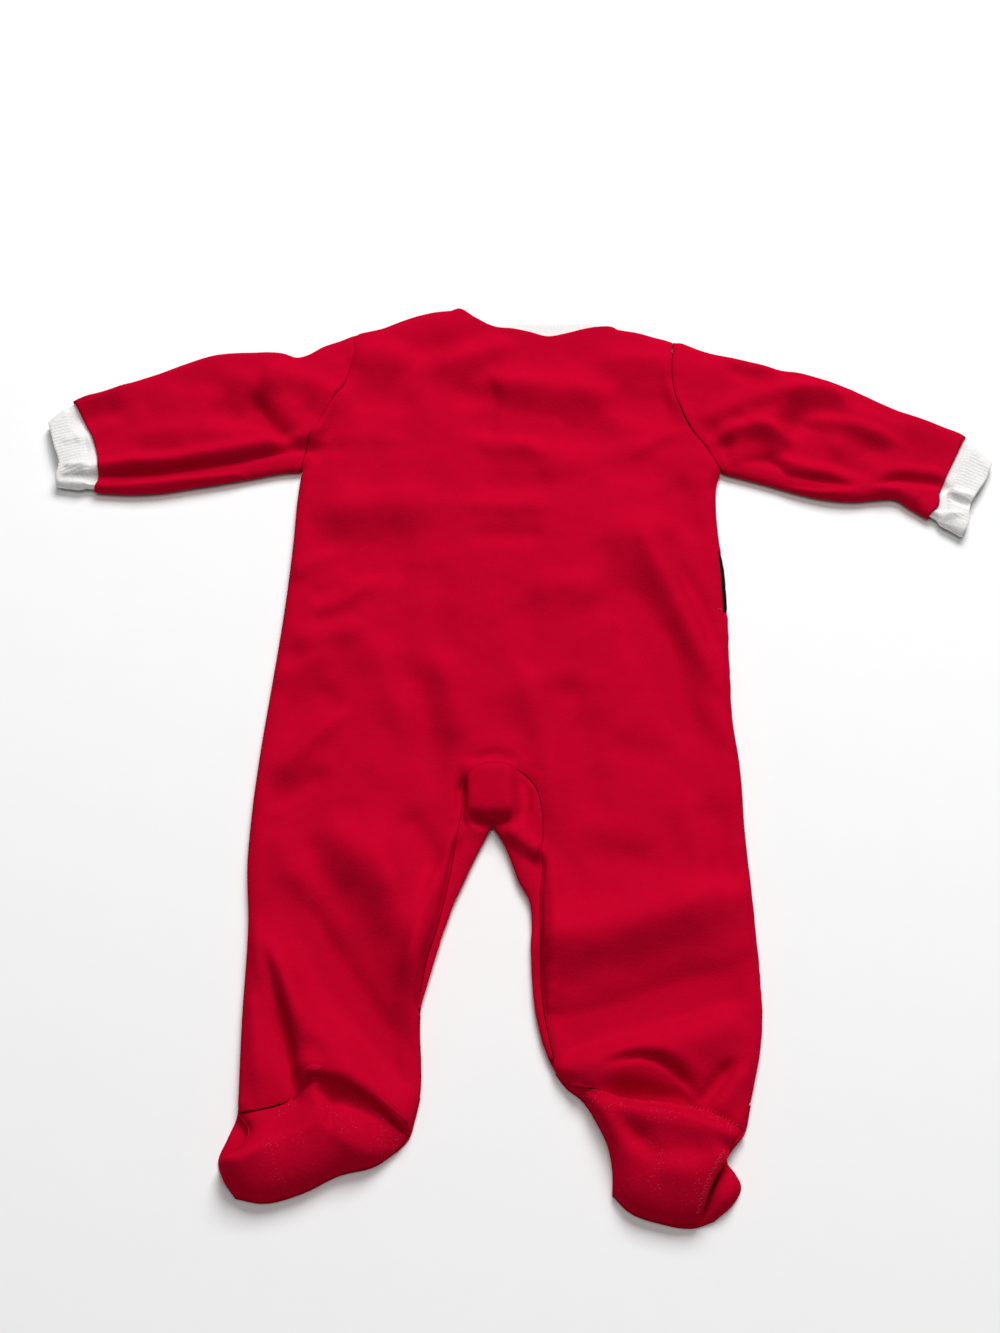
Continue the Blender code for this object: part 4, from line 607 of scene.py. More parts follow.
def ramp(value, start, end):
    """Smooth step from 0 at start to 1 at end."""
    t = np.clip((value - start) / (end - start), 0.0, 1.0)
    return t * t * (3 - 2 * t)


def rounding(distance, width):
    """Quarter ellipse: 0 on an edge and 1 from one width in."""
    left = np.clip(1.0 - distance / width, 0.0, 1.0)
    return np.sqrt(1.0 - left**2), left


def upper_height(xy):
    """Top of the upper layer where no edge rounds it."""
    dome = CROTCH_DOME
    x, y = xy[..., 0], xy[..., 1]
    reach = (((x - dome["x"]) / dome["half_x"])**dome["power"]
             + ((y - dome["y"]) / dome["half_y"])**dome["power"])
    height = (LOFT + fold_rise(xy, FOLDS) + fold_rise(xy, CREASES) + swelling_rise(xy, SWELLINGS)
              + dome["rise"] * np.exp(-reach) + soft_waves(xy))
    in_strip = strip_share(xy)
    height = height + in_strip * (STRIP_HEIGHT - height) - lip_drop(xy)
    beside_lap = np.abs(x - centre_front(y))
    over_lap = (1 - ramp(beside_lap, LAP + LAP_ROOM[0], LAP + LAP_ROOM[1])) * ramp(y, *LAP_ROOM_Y)
    least = 2 * FLEECE + 3 * SEAM + over_lap * LAP_LIFT
    return at_least(height, least, softness=LEAST_SOFTNESS)


def strip_share(xy):
    """1 on the low strips along the inner legs, 0 a little way up past their seams."""
    x, y = xy[..., 0], xy[..., 1]
    total = np.zeros(x.shape)
    for side, inward in (("left", 1), ("right", -1)):
        seam = GUSSETS[side]
        past = inward * (np.interp(-y, -seam[:, 1], seam[:, 0]) - x)
        start, end = STRIPS[side]
        along_leg = ramp(-y, -start[0], -start[1]) * (1 - ramp(-y, -end[0], -end[1]))
        total = total + (1 - ramp(past, 0.0, STRIP_STEP)) * along_leg * (
            inward * (x - STRIP_PARTING_X) < 0)
    return total


def lip_drop(xy):
    """How far the upper layer rolls down beside the ankle seams."""
    drop = np.zeros(xy.shape[:-1])
    low = xy[..., 1] < ANKLE_TOP_Y
    for side, depth in LIP_ROLLS.items():
        gap, _ = nearest_on([ANKLES[side]], xy[low])
        drop[low] += depth * (1 - rounding(gap, LIP_WIDTH)[0])
    return drop * lip_share(xy)


def lip_share(xy):
    """1 where the left leg's end overhangs its sole and on all of the right, 0 elsewhere."""
    x = xy[..., 0]
    return np.where(x < 0, ramp(x, *LIP_START), 1.0)


def lap_edge(y):
    """Edge of the outer lap, which runs in to the crotch tip at its lower end."""
    y = np.asarray(y, dtype=float)
    corner_x = centre_front(LAP_CORNER_Y) + LAP
    end_x, end_y = np.add(CROTCH_TIP, LAP_END)
    run_in = np.interp(y, [end_y, LAP_CORNER_Y], [end_x, corner_x])
    return np.where(y > LAP_CORNER_Y, centre_front(y) + LAP, run_in)


def lap_lift(xy):
    """How far the right front is raised where it lies on the outer lap."""
    x, y = xy[..., 0], xy[..., 1]
    past_edge = x - lap_edge(y)
    return (LAP_LIFT * (1 - ramp(past_edge, LAP_EASE, LAP_EASE + LAP_STEP))
            * ramp(y, *LAP_FADE_Y))


def slope_of(height, xy, step=0.5):
    """Rise of a height function along x and along y."""
    rises = [(height(xy + shift) - height(xy - shift)) / (2 * step)
             for shift in (np.array([step, 0.0]), np.array([0.0, step]))]
    return np.stack(rises, axis=-1)


def skin(xy, layer, raised):
    """Points and outward normals of the cloth's outer face at these plan points.

    layer is 1 for the back above, -1 for the fronts below and 0 on a folded
    edge. Away from an edge the upper face stands at upper_height and the lower
    one on the floor, plus lap_lift where raised. Towards an edge both follow a
    quarter ellipse, and their normals turn level.
    """
    distance, inward = nearest_on(FOLDED_EDGES, xy)
    full, left = rounding(distance, EDGE_ROLL)
    half_gap = SEAM / 2
    z_lower = (FOLD_Z - half_gap) * (1 - full)
    turn = (left / EDGE_ROLL)[..., None] * inward
    level_lower = -(FOLD_Z - half_gap) * turn
    if raised:
        z_lower = z_lower + lap_lift(xy)
        level_lower = level_lower + full[..., None] * slope_of(lap_lift, xy)
    z_upper, level_upper = FOLD_Z, -inward
    if (layer > 0).any():
        near_edge = 1 - ramp(distance, EDGE_ROLL, EDGE_ROOM_REACH)
        height = at_least(upper_height(xy), 2 * FLEECE + 2 * SEAM + EDGE_ROOM * near_edge)
        room = height - FOLD_Z - half_gap
        z_upper = FOLD_Z + half_gap + room * full
        level_upper = -room[..., None] * turn - (full**2)[..., None] * slope_of(upper_height, xy)
    z = np.where(layer > 0, z_upper, np.where(layer < 0, z_lower, FOLD_Z))
    above, below = (layer > 0)[..., None], (layer < 0)[..., None]
    level = np.where(above, level_upper, np.where(below, level_lower, -inward))
    normal = np.concatenate([level, (layer * full)[..., None]], axis=-1)
    normal /= np.linalg.norm(normal, axis=-1, keepdims=True)
    return np.concatenate([xy, z[..., None]], axis=-1), normal


# ---- rows and grids shared by the pieces on both sides of a seam ----

UNDERARM_Y = 130.0
HIP_Y = GUSSET_TOP[1]
LAP_LOW_ROWS = [HIP_Y, LAP_FULL_Y, -78.5, LAP_CORNER_Y, -92.5, -99.8]
INSIDE_TOP_Y = CROTCH_TIP[1] - 2.0      # the inner legs' rows begin here
SIDES = ("left", "right")
OUTWARD = {"left": -1, "right": 1}
EDGES = {"left": LEFT_EDGE, "right": RIGHT_EDGE}
INNER_EDGES = {"left": LEFT_INNER, "right": RIGHT_INNER}
OVER_ARMS = {"left": LEFT_TOP, "right": RIGHT_TOP}
UNDER_ARMS = {"left": LEFT_UNDER, "right": RIGHT_UNDER}
ARMHOLES, GUSSETS, WRISTS, CUFF_ENDS = (
    {side: smooth_curve(points) for side, points in zip(SIDES, pair)} for pair in (
        (LEFT_ARMHOLE, RIGHT_ARMHOLE), (LEFT_GUSSET, RIGHT_GUSSET), (LEFT_WRIST, RIGHT_WRIST),
        (LEFT_CUFF_END, RIGHT_CUFF_END)))
ANKLES = {"left": smooth_curve(LEFT_ANKLE), "right": smooth_curve(RIGHT_ANKLE)[::-1]}
FRONT_ANKLES = {"left": LEFT_FRONT_ANKLE, "right": RIGHT_FRONT_ANKLE[::-1]}
UPPER_EDGES = {"left": LEFT_UPPER_EDGE, "right": RIGHT_UPPER_EDGE}
SOLE_EDGES = {"left": LEFT_SOLE_EDGE, "right": RIGHT_SOLE_EDGE}
BACK_NECKLINE = smooth_curve(BACK_NECK)


def stations(length, first, last, count):
    """Distances along a run: given steps in from each end, even cells between."""
    length = np.asarray(length, dtype=float)[..., None]
    ones = np.ones_like(length)
    first, last = np.asarray(first) * ones, np.asarray(last) * ones
    share = np.arange(1, count) / count
    middle = first[..., -1:] + share * (length - first[..., -1:] - last[..., -1:])
    return np.concatenate([first, middle, length - last[..., ::-1]], axis=-1)


def spread(curve, first, last, count):
    """Points on a curve at stations of its own length."""
    length = lengths_of(curve)[-1]
    return along(curve, stations(length, first, last, count) / length)


def ruled(left, right, first, last, count, top=None, bottom=None, fade=3.0):
    """Plan grid whose rows run straight from a left to a right edge.

    Given end rows replace the straight ones, and their departures from
    straight fade from row to row by a power.
    """
    run = right - left
    length = np.linalg.norm(run, axis=1)
    share = stations(length, first, last, count) / length[:, None]
    grid = left[:, None] + share[..., None] * run[:, None]
    down = lengths_of(left)[:, None, None]
    down = down / down[-1]
    for row, weight, end in ((top, (1 - down)**fade, 0), (bottom, down**fade, -1)):
        if row is not None:
            grid = grid + weight * (row - grid[end])
    return grid


def cells_of(curve, cell):
    return max(2, round(float(lengths_of(np.asarray(curve))[-1]) / cell))


def even_rows(curve, count):
    """Points on a curve, ends included, at even steps."""
    return along(curve, np.linspace(0.0, 1.0, count + 1))


def seam_inset(y, past=0.0):
    """Plan distance of the right side seam from its folded edge, plus some cloth."""
    table = np.array(RIGHT_SEAM_RISE, dtype=float)
    rise = np.interp(-np.asarray(y, dtype=float), -table[:, 0], table[:, 1]) + past
    return EDGE_ROLL * (1 - np.cos(rise / EDGE_ROLL))


def back_columns(side, y):
    """Steps in from the folded edge; on the right they begin at the side seam."""
    inset = seam_inset(y, SEAM)[:, None] if side == "right" else np.zeros((len(y), 1))
    return inset + ROLL_STEPS / EDGE_ROLL * (EDGE_ROLL - inset)


def armhole_rows(side, shares):
    """Points down the armhole from the shoulder to the side edge."""
    curve = ARMHOLES[side]
    curve = curve[curve[:, 1] > UNDERARM_Y + JOIN_GAP]
    return along(np.concatenate([curve, at_height(EDGES[side], [UNDERARM_Y])]), shares)


def shoulder_of(side):
    """Shoulder line from the armhole to the neck point."""
    return beyond(OVER_ARMS[side], ARMHOLES[side][0, 0], -OUTWARD[side])


def side_seam():
    """The seam between the back and the right fronts, in the plan."""
    heights = np.linspace(UNDERARM_Y, RIGHT_EDGE[-1, 1], LINE_POINTS)
    return at_height(RIGHT_EDGE, heights) - np.stack([seam_inset(heights), 0 * heights], axis=1)


def seam_groove(xy, seams):
    """Depth of the groove along some seams, less the puckers beside it."""
    distance, _ = nearest_on(seams, xy)
    puckers = sum(share * soft_noise(xy, size, seed) for size, share, seed in PUCKER_WAVES)
    return (SEAM_GROOVE * np.exp(-(distance / GROOVE_WIDTH)**2) + PUCKER * puckers
            * np.exp(-(distance / PUCKER_REACH)**2) * ramp(distance, *PUCKER_START))


def edge_taper(xy, free_edges, thickness):
    """How far each face draws in beside a free edge, so that the edge is round."""
    distance, _ = nearest_on(free_edges, xy)
    full, _ = rounding(distance + HEM_BLUNT, HEM_ROUNDING * thickness)
    return 0.5 * thickness * (1 - full)


# ---- meshes ----

def grid_faces(points, normals, start):
    """Quads of a grid, numbered from start and facing along its normals."""
    rows, columns = points.shape[:2]
    first = start + (np.arange(rows - 1)[:, None] * columns + np.arange(columns - 1)).ravel()
    faces = np.stack([first, first + 1, first + columns + 1, first + columns], axis=1)
    across = points[:-1, 1:] - points[:-1, :-1]
    down = points[1:, :-1] - points[:-1, :-1]
    backwards = (np.cross(across, down) * normals[:-1, :-1]).sum() < 0
    return faces[:, ::-1] if backwards else faces


def make_mesh(name, points, faces, uv=None):
    """A piece from points in plan millimetres and faces of 3 or 4 corners."""
    mesh = bpy.data.meshes.new(name)
    placed = (np.asarray(points) - (*PLAN_CENTRE, 0.0)) * MM
    faces = np.asarray(faces, dtype=np.int32)
    mesh.vertices.add(len(placed))
    mesh.vertices.foreach_set("co", placed.astype(np.float32).ravel())
    corners = faces.shape[1]
    mesh.loops.add(faces.size)
    mesh.loops.foreach_set("vertex_index", faces.ravel())
    mesh.polygons.add(len(faces))
    mesh.polygons.foreach_set("loop_start", np.arange(len(faces), dtype=np.int32) * corners)
    mesh.update(calc_edges=True)
    if uv is not None:
        layer = mesh.uv_layers.new(name="run")
        layer.data.foreach_set("uv", np.asarray(uv, dtype=np.float32)[faces.ravel()].ravel())
    mesh.shade_smooth()
    made = bpy.data.objects.new(name, mesh)
    bpy.context.scene.collection.objects.link(made)
    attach(made, "root")
    return made


def closed_wall(name, grids):
    """Weld grids of (outer points, inner points, normals) and close every open edge."""
    numbered, start = [], 0
    for outer, _, normals in grids:
        numbered.append(grid_faces(outer, normals, start))
        start += outer.shape[0] * outer.shape[1]
    outer = np.concatenate([grid[0].reshape(-1, 3) for grid in grids])
    inner = np.concatenate([grid[1].reshape(-1, 3) for grid in grids])
    _, first, number = np.unique(np.round(outer, 3), axis=0, return_index=True,
                                 return_inverse=True)
    faces = number.ravel()[np.concatenate(numbered)]
    count = len(first)
    edges = np.concatenate([faces[:, [k, (k + 1) % 4]] for k in range(4)])
    key = edges[:, 0].astype(np.int64) * count + edges[:, 1]
    back_key = edges[:, 1].astype(np.int64) * count + edges[:, 0]
    rim = edges[~np.isin(key, back_key) & (edges[:, 0] != edges[:, 1])]
    walls = np.stack([rim[:, 1], rim[:, 0], rim[:, 0] + count, rim[:, 1] + count], axis=1)
    every = np.concatenate([faces, faces[:, ::-1] + count, walls])
    return make_mesh(name, np.concatenate([outer[first], inner[first]]), every)


def cloth(name, patches, thickness=FLEECE, raised=False, seams=(), free_edges=(), ribs=None):
    """A piece of cloth from plan grids, each with its layer, or a layer by column.

    The outer face sinks along the seams, both faces draw together at the free
    edges, and ribs, where given, are added to the outer face.
    """
    grids = []
    for xy, layer in patches:
        layer = np.broadcast_to(np.asarray(layer), xy.shape[:-1])
        points, normals = skin(xy, layer, raised)
        sink = np.zeros(xy.shape[:-1])
        if len(seams):
            sink = sink + seam_groove(xy, seams)
        if ribs is not None:
            sink = sink + ribs(xy)
        taper = 0.0
        if len(free_edges):
            taper = edge_taper(xy, free_edges, thickness)[..., None]
        lower = layer < 0
        wave = UNDERSIDE_WAVE * (1 + soft_noise(xy, UNDERSIDE_SIZE, UNDERSIDE_SEED)) / 2
        flat_rest = np.where(lower, wave, 0.0)
        sink = np.where(lower, np.maximum(sink, 0.0) + flat_rest, sink)
        outer = points - normals * (sink[..., None] + taper)
        inner = points - normals * (thickness - taper)
        grids.append((outer, inner, normals))
    return closed_wall(name, grids)


# ---- back and gusset ----

def row_shares(length, cell, close_start=False):
    """Even shares of a length, with closer ones at the start where it is a free edge."""
    even = np.linspace(0.0, 1.0, max(2, round(length / cell)) + 1)
    if close_start:
        close = HEM_STEPS / length
        even = np.concatenate([close, even[even > close[-1] + 0.3 * cell / length]])
    return even


def half_back(side, cell):
    """Yoke, trunk and leg grids of one half of the back, from edge to middle."""
    edge, inside = EDGES[side], INNER_EDGES[side]
    inward = -OUTWARD[side]
    middle = np.array([NECK_MIDDLE, GUSSET_TOP])
    neck = BACK_NECKLINE[::inward]
    neck = neck[inward * neck[:, 0] < inward * NECK_MIDDLE[0] - JOIN_GAP]
    neck = np.concatenate([neck, [NECK_MIDDLE]])
    shoulder = shoulder_of(side)
    shoulder_cells = cells_of(shoulder, cell)
    neck_cells = cells_of(neck, cell)
    cells = shoulder_cells + neck_cells
    top = join(spread(shoulder, ROLL_STEPS, [0.0], shoulder_cells),
               spread(neck, [0.0], SEAM_STEPS, neck_cells))

    drop = NECK_MIDDLE[1] - UNDERARM_Y
    shares = row_shares(drop, cell, close_start=True)
    yoke = ruled(armhole_rows(side, shares), at_height(middle, NECK_MIDDLE[1] - shares * drop),
                 back_columns(side, np.array([UNDERARM_Y])), SEAM_STEPS, cells, top=top)
    heights = np.linspace(UNDERARM_Y, HIP_Y, round((UNDERARM_Y - HIP_Y) / cell) + 1)
    trunk = ruled(at_height(edge, heights), at_height(middle, heights),
                  back_columns(side, heights), SEAM_STEPS, cells)

    leg_edge = between(edge, HIP_Y, edge[-1, 1])
    count = cells_of(leg_edge, cell)
    below = between(inside, GUSSETS[side][-1, 1] - GUSSET_JOIN, inside[-1, 1])
    inner = spread(np.concatenate([GUSSETS[side], below]), [0.0], SEAM_STEPS, count)
    outer = spread(leg_edge, [0.0], SEAM_STEPS, count)
    columns = back_columns(side, outer[:, 1])
    bottom = spread(ANKLES[side], columns[-1], SEAM_STEPS, cells)
    leg = ruled(outer, inner, columns, SEAM_STEPS, cells, bottom=bottom, fade=LEG_FADE)
    return yoke, trunk, leg


def make_back(cell):
    grids = half_back("left", cell) + half_back("right", cell)
    seams = [*ARMHOLES.values(), *GUSSETS.values(), *ANKLES.values(), side_seam()]
    back = cloth("back_cloth", [(grid, 1) for grid in grids], seams=seams,
                 free_edges=[BACK_NECKLINE])
    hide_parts("back")
    return back


def make_gusset(cell):
    """The strip between the back's inner leg seams and the folded edge below it."""
    sides = []
    for side in SIDES:
        outline = between(INNER_EDGES[side], CROTCH_TIP[1], GUSSETS[side][-1, 1])
        count = cells_of(outline, cell)
        sides.append((even_rows(outline, count), even_rows(GUSSETS[side], count)))
    (left_out, left_in), (right_out, right_in) = sides
    outline = join(left_out[::-1], right_out)
    seam = join(left_in[::-1], right_in)
    width = np.linalg.norm(seam - outline, axis=1)
    first = ROLL_STEPS * np.minimum(1.0, width / GUSSET_NARROW)[:, None]
    last = 2 * SEAM * np.minimum(1.0, width / GUSSET_TIP)[:, None]
    grid = ruled(outline, seam, first, last, max(4, round(GUSSET_WIDTH / cell)))
    gusset = cloth("gusset_cloth", [(grid, 1)], seams=list(GUSSETS.values()))
    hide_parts("crotch_gusset")
    return gusset


# ---- sleeves and cuffs ----

def arm_grid(over, under, start, end, cell, close_end):
    """Plan grid of an arm piece, between its over-arm and under-arm edges."""
    shares = row_shares(lengths_of(over)[-1], cell, close_start=close_end)
    shares = 1 - shares[::-1] if close_end else shares
    over_rows, under_rows = along(over, shares), along(under, shares)
    cells = max(4, round(np.linalg.norm(over[0] - under[0]) / cell))
    rows = [between_points(spread(curve, ROLL_STEPS, ROLL_STEPS, cells), over_rows[row],
                           under_rows[row]) for curve, row in ((start, 0), (end, -1))]
    return ruled(over_rows, under_rows, ROLL_STEPS, ROLL_STEPS, cells,
                 top=rows[0], bottom=rows[1])


def between_points(row, start, end):
    """A row moved so that it runs exactly from start to end."""
    share = np.linspace(0.0, 1.0, len(row))[:, None]
    return row + (1 - share) * (start - row[0]) + share * (end - row[-1])


def arm_edges(side, start, end):
    """Over-arm and under-arm edges between two lines across the arm."""
    outward = OUTWARD[side]
    edges = []
    for curve, row in ((OVER_ARMS[side], 0), (UNDER_ARMS[side], -1)):
        curve = beyond(curve, start[row, 0], outward)
        edges.append(curve[outward * curve[:, 0] < outward * end[row, 0] + 0.1])
    return edges


def tube(name, grid, **options):
    layer = np.ones(grid.shape[1], dtype=int)
    layer[[0, -1]] = 0
    return cloth(name, [(grid, layer), (grid, -layer)], **options)


def make_arm(side, cell):
    """A sleeve and its ribbed cuff."""
    outward = OUTWARD[side]
    gap = np.array([SEAM * outward, 0.0])
    wrist, cuff_end = WRISTS[side], CUFF_ENDS[side]
    armhole = armhole_rows(side, np.linspace(0, 1, ARMHOLE_POINTS)) + gap
    over, under = arm_edges(side, armhole, wrist)
    grid = arm_grid(over, under, armhole, wrist, cell, close_end=False)
    sleeve = tube("sleeve_cloth_" + side, grid, seams=[ARMHOLES[side]], free_edges=[wrist])
    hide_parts("sleeve_" + side)

    cell = CUFF_CELL
    start = wrist - CUFF_TUCK / SEAM * gap
    over, under = arm_edges(side, start, cuff_end)
    grid = arm_grid(over, under, start, cuff_end, cell, close_end=True)
    across = np.stack([over[0], under[0]])
    run = across[1] - across[0]
    length = np.linalg.norm(run)

    def ribs(xy):
        """Ribs run along the arm: a wave of the distance across it. The cuff starts in the sleeve."""
        place = (xy - across[0]) @ run / length
        way, _ = nearest_on([wrist], xy)
        inside = outward * (xy[..., 0] - np.interp(-xy[..., 1], -wrist[:, 1], wrist[:, 0])) < 0
        sunk = np.where(inside, 1.0, 1 - ramp(way, CUFF_TUCK / 2, CUFF_RISE))
        return (RIB_DEPTH * (0.5 + 0.5 * np.cos(2 * np.pi * place / RIB_PITCH))
                + (FLEECE + SEAM) * sunk - fold_rise(xy, CUFF_FOLDS))

    cuff = tube("cuff_knit_" + side, grid, thickness=RIB, free_edges=[cuff_end], ribs=ribs)
    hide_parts("cuff_" + side)
    return sleeve, cuff


# ---- fronts and belt ----

def lap_line(side, heights):
    """Free edge of a front at the opening: the outer lap or the one under it."""
    heights = np.asarray(heights, dtype=float)
    x = lap_edge(heights)
    if side == "right":
        x = x + SEAM - 2 * LAP * np.interp(heights, [LAP_CORNER_Y, LAP_FULL_Y], [0.0, 1.0])
    return np.stack([x, heights], axis=-1)


def neck_curve():
    """Neckband rows, closely sampled, cut at the two neck points."""
    curve = smooth_curve([row[:5] for row in NECKBAND], step=1.0)
    cuts = [int(np.linalg.norm(curve[:, :2] - NECKBAND[row][:2], axis=1).argmin())
            for row in (LEFT_NECK_ROW, RIGHT_NECK_ROW)]
    return curve[:cuts[0] + 1], curve[cuts[0]:cuts[1] + 1], curve[cuts[1]:]


def front_neckline(side):
    """The front's edge round the neck, just outside the band."""
    first, _, last = neck_curve()
    seam = (first[::-1] if side == "left" else last)[:, :2]
    away = seam - NECK_CENTRE
    return seam + 1.5 * SEAM * away / np.linalg.norm(away, axis=1, keepdims=True)


def front_grid(outer, inner, cell, top=None):
    """Plan grid of a front, from its folded edge to its lap."""
    cells = max(4, round(FRONT_WIDTH / cell))
    if top is not None:
        top = spread(top, ROLL_STEPS, LAP_STEPS, cells)
    return ruled(outer, inner, ROLL_STEPS, LAP_STEPS, cells, top=top)


def wrap_grid(outer_rows):
    """The part of a right front that turns up round the edge to the side seam."""
    share = np.linspace(0.0, 1.0, WRAP_POINTS)**WRAP_POWER
    steps = (share * seam_inset(outer_rows[:, 1])[:, None])[..., None]
    layer = np.ones(WRAP_POINTS, dtype=int)
    layer[0] = -1
    return outer_rows[:, None] - steps * (1.0, 0.0), layer


def front_piece(node, side, top, bottom, cell, yoke=False, leg=False):
    """A front piece between two heights, with its yoke above or its leg below."""
    heights = np.linspace(top, bottom, max(2, round((top - bottom) / cell)) + 1)
    outer = at_height(EDGES[side], heights)
    grids = [front_grid(outer, lap_line(side, heights), cell)]
    if yoke:
        neckline = front_neckline(side)
        shoulder = shoulder_of(side)
        lap_heights = np.linspace(neckline[-1, 1], UNDERARM_Y, LAP_ROWS)[1:]
        inner = np.concatenate([shoulder[-1:], neckline, lap_line(side, lap_heights)])
        count = cells_of(inner, cell)
        grids.append(front_grid(armhole_rows(side, np.linspace(0, 1, count + 1)),
                                even_rows(inner, count), cell, top=shoulder))
    if leg:
        inside = between(INNER_EDGES[side], INSIDE_TOP_Y, FRONT_ANKLES[side][1][1])
        inner = np.concatenate([lap_line(side, LAP_LOW_ROWS), inside])
        leg_edge = between(EDGES[side], HIP_Y, FRONT_ANKLES[side][0][1])
        count = cells_of(leg_edge, cell)
        rows = even_rows(leg_edge, count)
        grids.append(front_grid(rows, even_rows(inner, count), cell))
        outer = join(outer, rows)
    patches = [(grid, -1) for grid in grids]
    if side == "right":
        patches.append(wrap_grid(outer))
    lines = [np.array([[-BELT_REACH, y], [BELT_REACH, y]]) for y in (BELT_TOP_Y, BELT_BOTTOM_Y)]
    seams = [ARMHOLES[side], front_neckline(side), np.array(FRONT_ANKLES[side], dtype=float),
             *lines] + ([side_seam()] if side == "right" else [])
    laps = lap_line(side, np.linspace(LAP_TOP_Y, LAP_CORNER_Y, LINE_POINTS))
    front = cloth(node + "_cloth", patches, raised=side == "right", seams=seams,
                  free_edges=[laps])
    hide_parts(node)
    return front


def make_fronts(cell):
    half = SEAM / 2
    made = {}
    for side in SIDES:
        for part, top, bottom, options in (
                ("front_upper_", UNDERARM_Y, BELT_TOP_Y + half, {"yoke": True}),
                ("belt_", BELT_TOP_Y - half, BELT_BOTTOM_Y + half, {}),
                ("front_lower_", BELT_BOTTOM_Y - half, HIP_Y, {"leg": True})):
            node = part + side
            front = front_piece(node, side, top, bottom, cell, **options)
            made[node] = front
    return made


# ---- neckband, studs ----

def make_neckband():
    """An open ring of rib, from the outer lap round the neck to the under lap."""
    first, middle, last = neck_curve()
    rows = even_rows(join(first, middle, last), NECK_ROWS - 1)
    share = np.linspace(0.0, 1.0, NECK_POINTS)[:, None]
    plan = rows[:, None, 0:2] * (1 - share) + rows[:, None, 2:4] * share
    height = np.broadcast_to(np.maximum(rows[:, None, 4:5], 0.0), plan.shape[:-1] + (1,))
    outer = np.concatenate([plan, height], axis=-1)
    normals = np.cross(np.gradient(outer, axis=0), np.gradient(outer, axis=1))
    normals /= np.linalg.norm(normals, axis=-1, keepdims=True)
    place = lengths_of(rows[:, :2])[:, None]
    ribs = NECK_RIBS * RIB_DEPTH * (0.5 + 0.5 * np.cos(2 * np.pi * place / RIB_PITCH))
    from_edge = NECK_WIDTH * (1 - share.ravel()) + NECK_BLUNT
    taper = 0.5 * RIB * (1 - rounding(from_edge, NECK_ROUNDING)[0])[None, :, None]
    outer_face = outer - normals * (ribs[..., None] + taper)
    band = closed_wall("neckband_knit", [(outer_face, outer - (RIB - taper) * normals, normals)])
    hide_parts("neckband")
    return band


def make_stud(number):
    """A press stud's cap: a turned profile with a rolled rim and a sunken middle."""
    y = STUD_TOP_Y - number * STUD_PITCH
    centre = np.array([float(centre_front(y)), y, 0.0])
    turn = np.linspace(0.0, 2 * np.pi, STUD_SIDES, endpoint=False)
    radius, height = np.array(STUD_PROFILE).T
    rings = np.stack([radius[:, None] * np.cos(turn), radius[:, None] * np.sin(turn),
                      np.broadcast_to(height[:, None], (len(radius), STUD_SIDES))], axis=-1)
    points = (rings + centre).reshape(-1, 3)
    ring = np.arange(len(radius) - 1)[:, None] * STUD_SIDES
    step = np.arange(STUD_SIDES)
    after = (step + 1) % STUD_SIDES
    faces = np.stack([ring + step, ring + STUD_SIDES + step, ring + STUD_SIDES + after,
                      ring + after], axis=-1).reshape(-1, 4)
    name = f"stud_{number + 1}"
    stud = make_mesh(name + "_cap", points, faces)
    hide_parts(name)
    return stud


# ---- feet ----

def numeric_normals(points):
    """Unit normals of a grid from its own rows and columns, facing up."""
    normals = np.cross(np.gradient(points, axis=1), np.gradient(points, axis=0))
    normals /= np.maximum(np.linalg.norm(normals, axis=-1, keepdims=True), 1e-9)
    return normals * np.sign(normals[..., 2].sum())


def flat_based(name, xy, top, base_z):
    """A piece between its outer face, at these heights, and a flat base."""
    outer = np.concatenate([xy, top[..., None]], axis=-1)
    base = np.concatenate([xy, np.full_like(top, base_z)[..., None]], axis=-1)
    return closed_wall(name, [(outer, base, numeric_normals(outer))])


def foot_outline(edges):
    return [smooth_curve(edges[part]) for part in ("outer", "end", "inner")]


def make_upper(side, cell):
    """A foot upper, flat on the floor, its toe standing up beside the sole."""
    outline = foot_outline(UPPER_EDGES[side])
    outer, end, inner = outline
    count = cells_of(outer, cell)
    steps = UPPER_STEPS
    cells = max(6, round(FOOT_WIDTH / cell))
    xy = ruled(even_rows(outer, count), even_rows(inner, count), steps, steps, cells,
               bottom=spread(end, steps, steps, cells), fade=UPPER_FADE)
    rise, _ = rounding(nearest_on(outline, xy)[0], UPPER_ROLL)
    sole = foot_outline(SOLE_EDGES[side])
    gap, way = nearest_on(sole[:2], xy)
    outside = ((xy - np.mean(np.concatenate(sole), axis=0)) * way).sum(axis=-1) > 0
    clear = np.where(outside, ramp(gap, *TOE_START), 0.0)
    top = UPPER_EDGE + (FLEECE - UPPER_EDGE + swelling_rise(xy, TOES) * clear) * rise
    upper = flat_based("foot_upper_cloth_" + side, xy, top, 0.0)
    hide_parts("foot_upper_" + side)
    return upper


